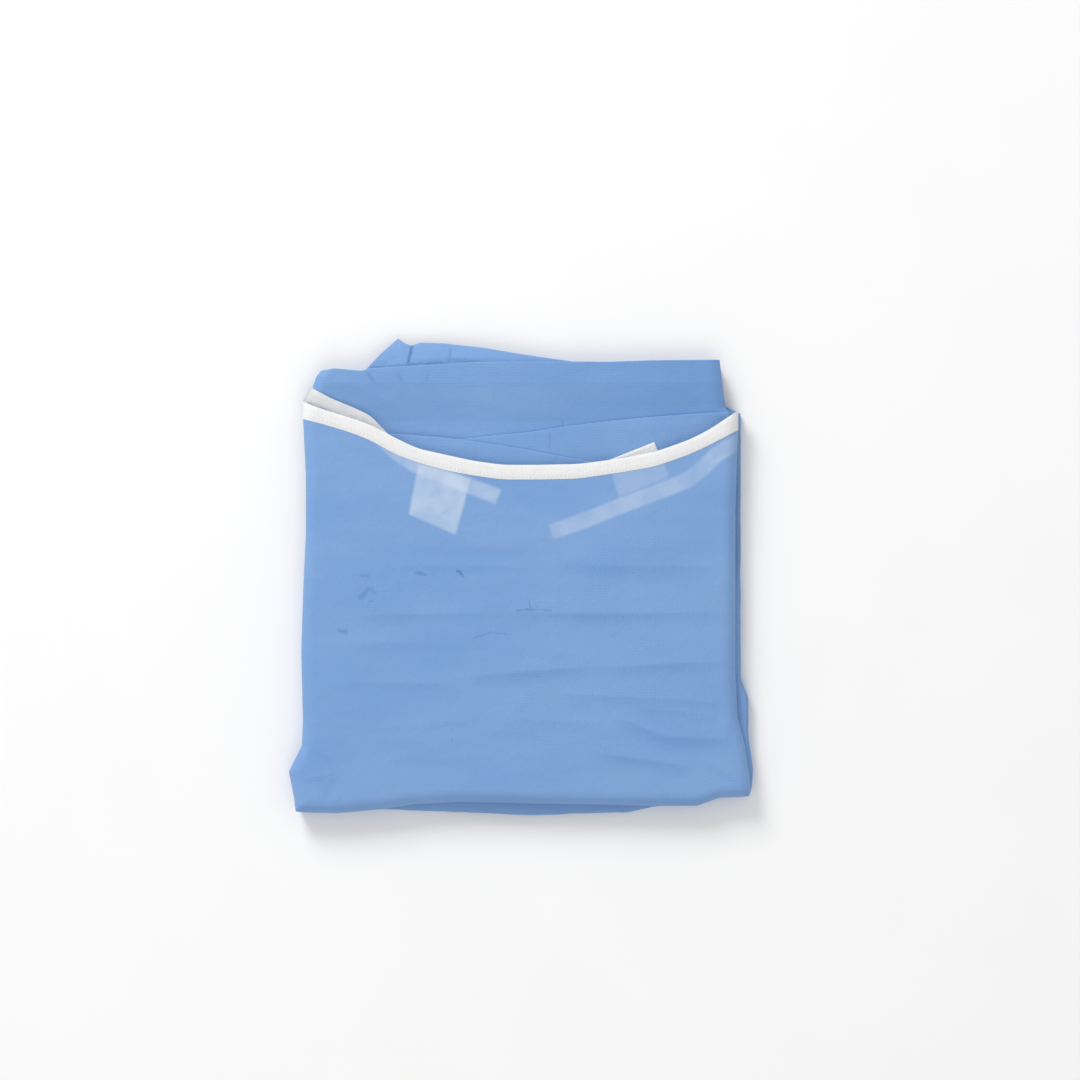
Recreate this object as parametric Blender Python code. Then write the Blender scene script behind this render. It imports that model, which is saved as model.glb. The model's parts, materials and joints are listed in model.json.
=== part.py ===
import math

import bmesh
import bpy
import numpy as np
from mathutils import Matrix

# Disposable gown folded flat into a bundle. The neck is towards +Y and the bundle rests on z = 0.
# Sizes are millimetres. "across" runs from the middle of the bundle to the right, "up" to the neck.

MM = 0.001
PLY = 1.2            # thickness of one cloth wall
SEAM_GAP = 0.3       # between pieces that are sewn or that lie on each other
PITCH = PLY + SEAM_GAP

BUNDLE_TOP = 18.0    # upper face of the front over the surface
BINDING_WIDTH = 9.5
BINDING_PLY = 1.2
BINDING_RAISE = 0.3  # the front binding stands this much over the front
EDGE_SHARE = 0.55    # thickness that a rounded edge keeps

# The front rolls over the side folds and the bottom fold.
ROLL_ACROSS = 8.0
ROLL_DROP = 7.0
ROLL_TURN = math.radians(105.0)
ROLL_STEPS = 5
CORNER_SHARPNESS = 0.7

# Layers over the hidden folds, counted in plies from them.
CORNER_PLY = 0
SKIRT_PLY = 1
RIGHT_SLEEVE_PLY = 2
LEFT_SLEEVE_PLY = 3
HOOK_TAPE_BOTTOM = BUNDLE_TOP - PLY - PITCH
LEFT_BACK_BOTTOM = HOOK_TAPE_BOTTOM - PITCH    # on the left sleeve
RIGHT_BACK_BOTTOM = LEFT_BACK_BOTTOM - PITCH   # on the right sleeve, beside the left one

# The cloth sinks a little towards the side folds.
SAG_REACH = 8.0
SAG_DEPTH = 3.0

# Grid steps
FRONT_COLUMNS = 34
FRONT_ROWS = 36
CORE_COLUMNS = 26
CORE_ROWS = 26
SKIRT_COLUMNS = 32
SKIRT_ROWS = 8
SLEEVE_COLUMNS = 26
SLEEVE_ROWS = 4
CORNER_COLUMNS = 26
CORNER_ROWS = 6
BACK_ROWS = 6
STRIP_STEPS = 22
STRIP_ROWS = 4
TAPE_STEPS = 4

# Outline of the bundle. Columns: across, up.
LEFT_SIDE = (
    (-137.0, -144.0),
    (-142.0, -119.0),
    (-134.0, -103.0),
    (-133.5, 96.0),
    (-132.5, 106.5),
    (-128.5, 115.0),
    (-127.0, 119.5),
    (-123.0, 125.5),
)
RIGHT_SIDE = (
    (141.0, -134.5),
    (142.0, -118.0),
    (139.0, -95.0),
    (139.0, -74.0),
    (134.5, -63.0),
    (134.5, 96.0),
    (130.5, 98.5),
    (124.5, 103.0),
    (123.0, 114.5),
    (121.0, 131.5),
)
BOTTOM_FOLD = (
    (-137.0, -144.0),
    (-112.5, -144.5),
    (-85.5, -142.0),
    (-37.0, -143.5),
    (5.0, -145.0),
    (63.0, -144.0),
    (80.0, -140.5),
    (107.0, -140.0),
    (121.0, -135.0),
    (141.0, -134.5),
)
TOP_FOLD = (
    (-123.0, 125.5),
    (-114.0, 127.0),
    (-97.5, 125.5),
    (-92.5, 127.0),
    (-67.0, 128.5),
    (-48.5, 129.5),
    (-25.5, 131.0),
    (23.5, 132.0),
    (48.0, 131.5),
    (121.0, 131.5),
)

# The front ends inside the outline on the right and below, where the folds under it look out.
# Columns: across, up.
INNER_RIGHT_SIDE = (
    (140.0, -134.5),
    (139.5, -125.0),
    (136.5, -104.0),
    (132.0, -86.0),
    (130.5, -60.0),
    (130.5, 40.0),
)
FRONT_RIGHT_SIDE = INNER_RIGHT_SIDE + (
    (132.0, 89.0),
    (132.0, 104.0),
)
FOLDED_RIGHT_SIDE = INNER_RIGHT_SIDE + RIGHT_SIDE[6:]
FRONT_BOTTOM_FOLD = (
    (-137.0, -144.0),
    (-112.5, -144.5),
    (-85.5, -142.0),
    (-66.0, -139.0),
    (-37.0, -137.5),
    (5.0, -138.5),
    (63.0, -139.5),
    (80.0, -140.0),
    (107.0, -140.0),
    (121.0, -135.0),
    (141.0, -134.5),
)

# Front neckline: the seam between the cloth and its binding, and the binding's free edge.
# Columns: across, seam up, free edge up.
NECKLINE = (
    (-133.5, 96.0, 106.5),
    (-120.0, 92.5, 101.5),
    (-103.5, 87.5, 96.5),
    (-91.0, 82.5, 92.0),
    (-77.0, 74.5, 84.5),
    (-63.5, 69.5, 78.0),
    (-45.5, 64.5, 74.0),
    (-29.5, 61.5, 70.5),
    (-11.5, 59.0, 68.0),
    (10.5, 59.0, 68.0),
    (34.5, 59.5, 68.5),
    (61.5, 63.5, 72.0),
    (81.5, 67.0, 76.0),
    (101.5, 74.0, 83.0),
    (114.5, 80.0, 89.5),
    (131.5, 89.0, 101.0),
    (134.5, 90.5, 102.5),
)

# Height of the hidden folds. Columns: up, height.
FOLDED_HEIGHT = (
    (-150.0, 16.5),
    (-12.0, 16.5),
    (8.0, 7.5),
    (95.0, 7.5),
    (118.0, 10.5),
    (140.0, 10.5),
)

# Edge of the hidden folds, from the top to the surface.
# Columns: inset, share of height, share of the way from the front's outline to the bundle's own.
FOLDED_EDGE = (
    (8.0, 1.0, 0.0),
    (6.0, 0.96, 0.0),
    (4.2, 0.86, 0.0),
    (3.0, 0.73, 0.0),
    (2.8, 0.60, 0.0),
    (3.2, 0.54, 0.0),
    (1.3, 0.46, 0.8),
    (0.9, 0.38, 1.0),
    (1.4, 0.29, 1.0),
    (2.8, 0.24, 0.9),
    (1.2, 0.17, 1.0),
    (1.0, 0.09, 1.0),
    (2.8, 0.0, 1.0),
)
FOLDED_TOP_INSET = 2.0   # the hidden folds end this far inside the fold of the skirt

# Soft folds that stand up from the front.
# Columns: from across, from up, to across, to up, half width, height.
FRONT_FOLDS = (
    (-65.0, 17.0, 126.0, 15.0, 6.0, 0.7),
    (-83.0, 6.5, 126.0, 5.5, 5.0, 0.6),
    (-19.0, -26.0, 124.0, -25.0, 7.0, 1.2),
    (-99.0, -27.0, -24.0, -26.0, 6.0, 0.8),
    (-34.0, -62.0, 124.0, -52.0, 7.0, 1.1),
    (-111.0, -66.0, -36.0, -65.5, 6.0, 0.6),
    (23.0, -73.0, 124.0, -77.0, 6.0, 0.9),
    (61.0, -92.0, 120.0, -104.0, 7.0, 0.9),
    (40.0, -106.0, 103.0, -117.0, 6.0, 0.8),
)

# Skirt, folded up behind the neck: its hidden lower end. Columns: across, up.
SKIRT_HIDDEN_END = (
    (-132.0, 110.0),
    (-124.0, 107.0),
    (-117.0, 102.0),
    (-103.0, 97.0),
    (-92.0, 90.0),
    (-83.0, 84.0),
    (-62.0, 78.0),
    (-36.0, 74.0),
    (11.0, 73.0),
    (48.0, 77.0),
    (82.0, 84.0),
    (114.0, 92.0),
    (124.0, 95.0),
    (130.0, 99.0),
)

# Corner of an under layer, past the top fold. Columns: across, up.
CORNER_EDGE = (
    (-97.0, 124.0),
    (-86.5, 135.5),
    (-75.5, 145.5),
    (-70.5, 142.0),
    (-67.0, 141.0),
    (-62.0, 143.0),
    (-48.5, 142.5),
    (-25.5, 140.0),
    (5.0, 135.0),
    (33.0, 131.0),
)
CORNER_ROOT = (
    (-92.0, 116.0),
    (27.0, 119.0),
)
CORNER_SAG_START = 5.0    # inside the top fold
CORNER_SAG = 0.016        # drop for each square millimetre of reach

# Sleeves, crossed behind the neck. Columns: across, up.
RIGHT_SLEEVE_EDGE = (
    (-44.0, 81.5),
    (-36.0, 83.5),
    (-21.5, 85.5),
    (-1.5, 88.0),
    (17.0, 89.5),
    (26.5, 91.0),
    (48.0, 93.0),
    (62.0, 96.0),
    (99.0, 99.5),
    (121.0, 100.5),
    (126.5, 100.0),
)
RIGHT_SLEEVE_HIDDEN_END = (
    (-44.0, 58.0),
    (10.5, 34.0),
    (48.0, 28.0),
    (82.0, 36.0),
    (110.0, 52.0),
    (127.5, 70.0),
)
LEFT_SLEEVE_EDGE = (
    (-84.0, 86.0),
    (-73.0, 88.5),
    (-53.5, 85.5),
    (-35.5, 83.0),
    (-21.5, 80.5),
    (-5.0, 78.5),
    (17.0, 74.5),
    (34.5, 71.5),
    (50.0, 68.5),
)
LEFT_SLEEVE_HIDDEN_END = (
    (-84.0, 66.0),
    (-63.5, 58.0),
    (-29.5, 50.0),
    (10.5, 47.0),
    (46.0, 51.0),
)

# Middle line of the two back neck bindings, from the side fold to the end. Columns: across, up.
LEFT_BINDING_LINE = (
    (-129.0, 110.5),
    (-118.0, 105.0),
    (-104.5, 99.5),
    (-95.0, 94.5),
    (-86.5, 85.5),
    (-76.5, 76.0),
    (-65.5, 68.5),
    (-49.5, 62.0),
    (-30.0, 54.5),
    (-14.0, 48.5),
)
RIGHT_BINDING_LINE = (
    (126.5, 78.7),
    (117.5, 74.0),
    (107.0, 64.5),
    (97.0, 57.5),
    (84.5, 52.5),
    (65.0, 45.0),
    (40.5, 35.0),
    (18.0, 27.0),
)

# Hidden ends of the two back halves. Columns: across, up.
LEFT_BACK_END = (
    (-122.0, 12.0),
    (-14.5, 12.0),
)
RIGHT_BACK_END = (
    (122.0, 12.0),
    (20.5, 12.0),
)
BACK_FIRST_STEP = 2       # along its binding: the back starts clear of the rolled side

# Fastening tapes: four corners in turn. Columns: across, up.
HOOK_TAPE = (
    (-62.5, 69.0),
    (-68.5, 38.0),
    (-40.0, 25.5),
    (-31.0, 59.5),
)
LOOP_TAPE = (
    (52.0, 70.5),
    (81.0, 82.0),
    (90.0, 60.5),
    (59.5, 48.5),
)

CLOTH_BLUE = (0.26, 0.44, 0.70, 1.0)
BINDING_WHITE = (0.85, 0.85, 0.85, 1.0)
TAPE_WHITE = (0.78, 0.78, 0.77, 1.0)


def lookUp(table, key, column=1):
    """Value of a column at a key, where the first column rises."""
    rows = np.array(table)
    return float(np.interp(key, rows[:, 0], rows[:, column]))


def sideAt(table, up):
    """Where the side outline lies at a height up the bundle."""
    rows = np.array(table)
    return float(np.interp(up, rows[:, 1], rows[:, 0]))


def alongLine(table, count):
    """Points at even steps along a line, with the nearest ones moved onto its corners."""
    rows = np.array(table)[:, :2]
    lengths = np.hypot(*np.diff(rows, axis=0).T)
    reached = np.concatenate(([0.0], np.cumsum(lengths)))
    wanted = np.linspace(0.0, reached[-1], count + 1)
    for corner in reached[1:-1]:
        nearest = int(np.argmin(np.abs(wanted - corner)))
        if 0 < nearest < count:
            wanted[nearest] = corner
    return np.column_stack([np.interp(wanted, reached, rows[:, k]) for k in (0, 1)])


def sag(across, up):
    """How far loose cloth sinks near the side folds."""
    reach = min(across - sideAt(LEFT_SIDE, up), sideAt(RIGHT_SIDE, up) - across)
    return SAG_DEPTH * max(0.0, 1.0 - max(reach, 0.0) / SAG_REACH) ** 2


def plyHeight(plies):
    """Underside of a loose layer, that many plies over the hidden folds."""

    def height(across, up):
        return lookUp(FOLDED_HEIGHT, up) + SEAM_GAP + plies * PITCH - sag(across, up)

    return height


def levelHeight(level):
    """Underside of a layer that lies level, but for the sides."""

    def height(across, up):
        return level - sag(across, up)

    return height


def cornerHeight(across, up):
    """Underside of the corner: it sinks once it is past the folds under it."""
    reach = max(0.0, up - (lookUp(TOP_FOLD, across) - CORNER_SAG_START))
    return lookUp(FOLDED_HEIGHT, up) + SEAM_GAP + CORNER_PLY * PITCH - CORNER_SAG * reach * reach


def frontFoldHeight(across, up):
    """Height that the soft folds add to the front."""
    height = 0.0
    for fromAcross, fromUp, toAcross, toUp, halfWidth, crest in FRONT_FOLDS:
        share = (across - fromAcross) / (toAcross - fromAcross)
        if share <= 0.0 or share >= 1.0:
            continue
        away = (up - fromUp - share * (toUp - fromUp)) / halfWidth
        if abs(away) < 1.0:
            fade = math.sin(math.pi * share) ** 0.5
            height += crest * fade * (1.0 + math.cos(math.pi * away)) / 2.0
    return height


def gridSteps(count, ringsBefore, ringsAfter):
    """Steps of a rolled sheet: share over the flat part, ring of the roll, and its direction."""
    before = [(0.0, ring, -1) for ring in range(ringsBefore, 0, -1)]
    flat = [(step / count, 0, 0) for step in range(count + 1)]
    after = [(1.0, ring, 1) for ring in range(1, ringsAfter + 1)]
    return before + flat + after


def ringReach(ringAcross, ringUp):
    """Ring that a step pair lies on, and its direction, so that two rolls meet in a soft corner."""
    ring = max(ringAcross, ringUp)
    if ring == 0:
        return 0, 0.0, 0.0
    turn = math.pi / 4.0 * min(ringAcross, ringUp) / ring
    longer = math.cos(turn) ** (1.0 - CORNER_SHARPNESS)
    shorter = math.sin(turn) / math.cos(turn) ** CORNER_SHARPNESS
    if ringAcross >= ringUp:
        return ring, longer, shorter
    return ring, shorter, longer


def rolledPoints(columns, rows, rightSide, lowEdge, highEdge, insets, reaches, heightOf):
    """Grid of points over the bundle's outline, rolled over at the rings."""
    sideInset, lowInset, highInset = insets
    points = np.zeros((len(rows), len(columns), 3))
    for j, (upShare, ringUp, upWay) in enumerate(rows):
        for i, (acrossShare, ringAcross, acrossWay) in enumerate(columns):
            ring, acrossReach, upReach = ringReach(ringAcross, ringUp)
            baseUp = 0.0
            for _ in range(6):
                left = sideAt(LEFT_SIDE, baseUp) + sideInset
                right = sideAt(rightSide, baseUp) - sideInset
                baseAcross = left + (right - left) * acrossShare
                across = baseAcross + acrossWay * acrossReach * reaches[ring]
                lookedUpAt = baseAcross if ringUp else across
                low = lowEdge(lookedUpAt) + lowInset
                high = highEdge(lookedUpAt) - highInset
                baseUp = low + (high - low) * upShare
            up = baseUp + upWay * upReach * reaches[ring]
            points[j, i] = (across, up, heightOf(ring, baseAcross, baseUp))
    return points


def bottomFold(across):
    return lookUp(BOTTOM_FOLD, across)


def frontBottomFold(across):
    return lookUp(FRONT_BOTTOM_FOLD, across)


def topFold(across):
    return lookUp(TOP_FOLD, across)


def neckSeam(across):
    return lookUp(NECKLINE, across, 1)


def neckFreeEdge(across):
    return lookUp(NECKLINE, across, 2)


def skirtHiddenEnd(across):
    return lookUp(SKIRT_HIDDEN_END, across)


def lift(points, heights):
    """The same points, higher."""
    raised = np.array(points)
    raised[:, :, 2] += heights
    return raised


def ruledPoints(low, high, rows, heightOf):
    """Grid between two lines, with the heights of the layer."""
    points = np.zeros((rows + 1, len(low), 3))
    for j in range(rows + 1):
        for i in range(len(low)):
            across, up = low[i] + (high[i] - low[i]) * j / rows
            points[j, i] = (across, up, heightOf(across, up))
    return points


def gridFaces(rows, columns, start, flipped):
    faces = []
    for j in range(rows - 1):
        for i in range(columns - 1):
            corner = start + j * columns + i
            face = (corner, corner + 1, corner + columns + 1, corner + columns)
            faces.append(face[::-1] if flipped else face)
    return faces


def rimOf(rows, columns, start):
    """Indices round the border of a grid."""
    low = [start + i for i in range(columns)]
    right = [start + j * columns + columns - 1 for j in range(1, rows)]
    high = [start + (rows - 1) * columns + i for i in range(columns - 2, -1, -1)]
    left = [start + j * columns for j in range(rows - 2, 0, -1)]
    return low + right + high + left


def makeMaterial(name, colour, roughness):
    material = bpy.data.materials.new(name)
    material.use_nodes = True
    shader = material.node_tree.nodes["Principled BSDF"]
    shader.inputs["Base Color"].default_value = colour
    shader.inputs["Roughness"].default_value = roughness
    return material


def addPiece(name, points, faces, colour, roughness=0.8):
    """One closed solid, faces out."""
    mesh = bpy.data.meshes.new(name)
    mesh.from_pydata([tuple(MM * value for value in point) for point in points], [], faces)
    body = bmesh.new()
    body.from_mesh(mesh)
    bmesh.ops.recalc_face_normals(body, faces=body.faces)
    body.to_mesh(mesh)
    body.free()
    mesh.materials.append(makeMaterial(name + "_finish", colour, roughness))
    piece = bpy.data.objects.new(name, mesh)
    bpy.context.scene.collection.objects.link(piece)
    return piece


def addWall(name, under, over, colour):
    """A cloth wall between two grids that have the same steps."""
    rows, columns = under.shape[:2]
    count = rows * columns
    points = np.concatenate((under.reshape(-1, 3), over.reshape(-1, 3)))
    faces = gridFaces(rows, columns, 0, True) + gridFaces(rows, columns, count, False)
    rim = rimOf(rows, columns, 0)
    for here, there in zip(rim, rim[1:] + rim[:1]):
        faces.append((here, there, there + count, here + count))
    return addPiece(name, points, faces, colour)


def roundedPly(rows, ply, atLow, atHigh):
    """Thickness of each row: full, but for the edges that are folds."""
    thickness = np.full((rows, 1), ply)
    if atLow:
        thickness[0] *= EDGE_SHARE
    if atHigh:
        thickness[-1] *= EDGE_SHARE
    return thickness


def rollRings(inwards):
    """Reach and drop of each ring of the front's roll, for a face that lies that far inside it."""
    turns = [ROLL_TURN * step / ROLL_STEPS for step in range(ROLL_STEPS + 1)]
    reaches = [(ROLL_ACROSS - inwards) * math.sin(turn) for turn in turns]
    drops = [(ROLL_DROP - inwards) * (1.0 - math.cos(turn)) for turn in turns]
    return reaches, drops


def buildFoldedLayers():
    """The hidden layers: one rounded solid, flat below, with the edges of its folds round it."""
    rings = len(FOLDED_EDGE) - 1
    flatInset = FOLDED_EDGE[0][0]
    reaches = [flatInset - inset for inset, share, spread in FOLDED_EDGE]
    columns = gridSteps(CORE_COLUMNS, rings, rings)
    rows = gridSteps(CORE_ROWS, rings, rings)

    def height(ring, across, up):
        return lookUp(FOLDED_HEIGHT, up) * FOLDED_EDGE[ring][1]

    insets = (flatInset, flatInset, flatInset + FOLDED_TOP_INSET)
    points = rolledPoints(columns, rows, FOLDED_RIGHT_SIDE, frontBottomFold, topFold, insets, reaches,
                          height)
    for j, (upShare, ringUp, upWay) in enumerate(rows):
        for i, (acrossShare, ringAcross, acrossWay) in enumerate(columns):
            across, up = points[j, i, :2]
            spread = FOLDED_EDGE[max(ringAcross, ringUp)][2]
            lookOutRight = sideAt(RIGHT_SIDE, up) - sideAt(FOLDED_RIGHT_SIDE, up)
            lookOutBelow = frontBottomFold(across) - bottomFold(across)
            points[j, i, 0] += spread * acrossShare * lookOutRight
            points[j, i, 1] -= spread * (1.0 - upShare) * lookOutBelow
    faces = gridFaces(len(rows), len(columns), 0, False)
    faces.append(tuple(rimOf(len(rows), len(columns), 0)[::-1]))
    addPiece("folded_layers", points.reshape(-1, 3), faces, CLOTH_BLUE)


def buildFront():
    """The chest: over the bundle, and rolled over its side folds and its bottom fold."""
    columns = gridSteps(FRONT_COLUMNS, ROLL_STEPS, ROLL_STEPS)
    rows = gridSteps(FRONT_ROWS, ROLL_STEPS, 0)
    faces = []
    for inwards in (PLY, 0.0):
        reaches, drops = rollRings(inwards)

        def height(ring, across, up):
            soft = frontFoldHeight(across, up)
            return BUNDLE_TOP - inwards - drops[ring] + soft * (ring == 0)

        faces.append(rolledPoints(columns, rows, FRONT_RIGHT_SIDE, frontBottomFold, neckSeam,
                                  (ROLL_ACROSS, ROLL_ACROSS, 0.0), reaches, height))
    addWall("front", faces[0], faces[1], CLOTH_BLUE)


def buildFrontBinding():
    """The binding round the front neckline, from shoulder to shoulder."""
    columns = gridSteps(FRONT_COLUMNS, ROLL_STEPS, ROLL_STEPS)
    rows = [(step / STRIP_ROWS, 0, 0) for step in range(STRIP_ROWS + 1)]
    faces = []
    for inwards in (BINDING_PLY, 0.0):
        reaches, drops = rollRings(inwards)

        def height(ring, across, up):
            return BUNDLE_TOP + BINDING_RAISE - inwards - drops[ring]

        faces.append(rolledPoints(columns, rows, FRONT_RIGHT_SIDE, neckSeam, neckFreeEdge,
                                  (ROLL_ACROSS, SEAM_GAP, 0.0), reaches, height))
    under, over = faces
    for edge in (0, -1):
        over[edge] = under[edge] + (over[edge] - under[edge]) * EDGE_SHARE
    addWall("neck_binding_front", under, over, BINDING_WHITE)


def buildSkirt():
    """The skirt, folded up behind the neck."""
    columns = gridSteps(SKIRT_COLUMNS, 0, 0)
    rows = gridSteps(SKIRT_ROWS, 0, 0)
    below = plyHeight(SKIRT_PLY)

    def height(ring, across, up):
        return below(across, up)

    under = rolledPoints(columns, rows, RIGHT_SIDE, skirtHiddenEnd, topFold, (0.0, 0.0, 0.0), (0.0,),
                         height)
    addWall("skirt_fold", under, lift(under, roundedPly(len(rows), PLY, False, True)), CLOTH_BLUE)


def buildLayer(name, hiddenEnd, edge, columns, rows, heightOf):
    """A loose layer between its hidden end and the edge that shows."""
    under = ruledPoints(alongLine(hiddenEnd, columns), alongLine(edge, columns), rows, heightOf)
    addWall(name, under, lift(under, roundedPly(rows + 1, PLY, False, True)), CLOTH_BLUE)


def stripSides(line, steps, halfWidth):
    """The two sides of a strip that follows a line, left and right of its direction."""
    middle = alongLine(line, steps)
    along = np.gradient(middle, axis=0)
    along /= np.hypot(along[:, 0], along[:, 1])[:, None]
    aside = np.column_stack((-along[:, 1], along[:, 0])) * halfWidth
    return middle + aside, middle - aside


def buildBackBinding(name, line, hiddenSide, bottom):
    """Binding of one back half. Returns the line of its seam."""
    sides = stripSides(line, STRIP_STEPS, BINDING_WIDTH / 2.0)
    seams = stripSides(line, STRIP_STEPS, BINDING_WIDTH / 2.0 + SEAM_GAP)
    under = ruledPoints(sides[hiddenSide], sides[1 - hiddenSide], STRIP_ROWS, levelHeight(bottom))
    over = lift(under, roundedPly(STRIP_ROWS + 1, BINDING_PLY, True, True))
    addWall(name, under, over, BINDING_WHITE)
    return seams[hiddenSide]


def buildBack(name, seam, end, bottom):
    """One back half, from its neck seam to its hidden end."""
    shown = seam[BACK_FIRST_STEP:]
    under = ruledPoints(alongLine(end, len(shown) - 1), shown, BACK_ROWS, levelHeight(bottom))
    addWall(name, under, lift(under, PLY), CLOTH_BLUE)


def buildTape(name, corners, bottom):
    """A fastening tape, flat on the back half."""
    first, second, third, fourth = corners
    under = ruledPoints(alongLine((second, third), TAPE_STEPS), alongLine((first, fourth), TAPE_STEPS),
                        TAPE_STEPS, levelHeight(bottom))
    addWall(name, under, lift(under, PLY), TAPE_WHITE)


def centreOnOrigin():
    """Moves every piece so that the middle of the bundle's box is on the origin."""
    meshes = [piece.data for piece in bpy.data.objects]
    points = np.array([vertex.co[:2] for mesh in meshes for vertex in mesh.vertices])
    middle = (points.min(axis=0) + points.max(axis=0)) / 2.0
    for mesh in meshes:
        mesh.transform(Matrix.Translation((-middle[0], -middle[1], 0.0)))


def build():
    for leftover in list(bpy.data.objects):
        bpy.data.objects.remove(leftover)
    buildFoldedLayers()
    buildLayer("skirt_corner", CORNER_ROOT, CORNER_EDGE, CORNER_COLUMNS, CORNER_ROWS, cornerHeight)
    buildSkirt()
    buildLayer("sleeve_right", RIGHT_SLEEVE_HIDDEN_END, RIGHT_SLEEVE_EDGE, SLEEVE_COLUMNS, SLEEVE_ROWS,
               plyHeight(RIGHT_SLEEVE_PLY))
    buildLayer("sleeve_left", LEFT_SLEEVE_HIDDEN_END, LEFT_SLEEVE_EDGE, SLEEVE_COLUMNS, SLEEVE_ROWS,
               plyHeight(LEFT_SLEEVE_PLY))
    leftSeam = buildBackBinding("neck_binding_left", LEFT_BINDING_LINE, 1, LEFT_BACK_BOTTOM)
    rightSeam = buildBackBinding("neck_binding_right", RIGHT_BINDING_LINE, 0, RIGHT_BACK_BOTTOM)
    buildBack("back_left", leftSeam, LEFT_BACK_END, LEFT_BACK_BOTTOM)
    buildBack("back_right", rightSeam, RIGHT_BACK_END, RIGHT_BACK_BOTTOM)
    buildTape("hook_tape", HOOK_TAPE, HOOK_TAPE_BOTTOM)
    buildTape("loop_tape", LOOP_TAPE, RIGHT_BACK_BOTTOM)
    buildFront()
    buildFrontBinding()
    centreOnOrigin()


build()
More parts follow.
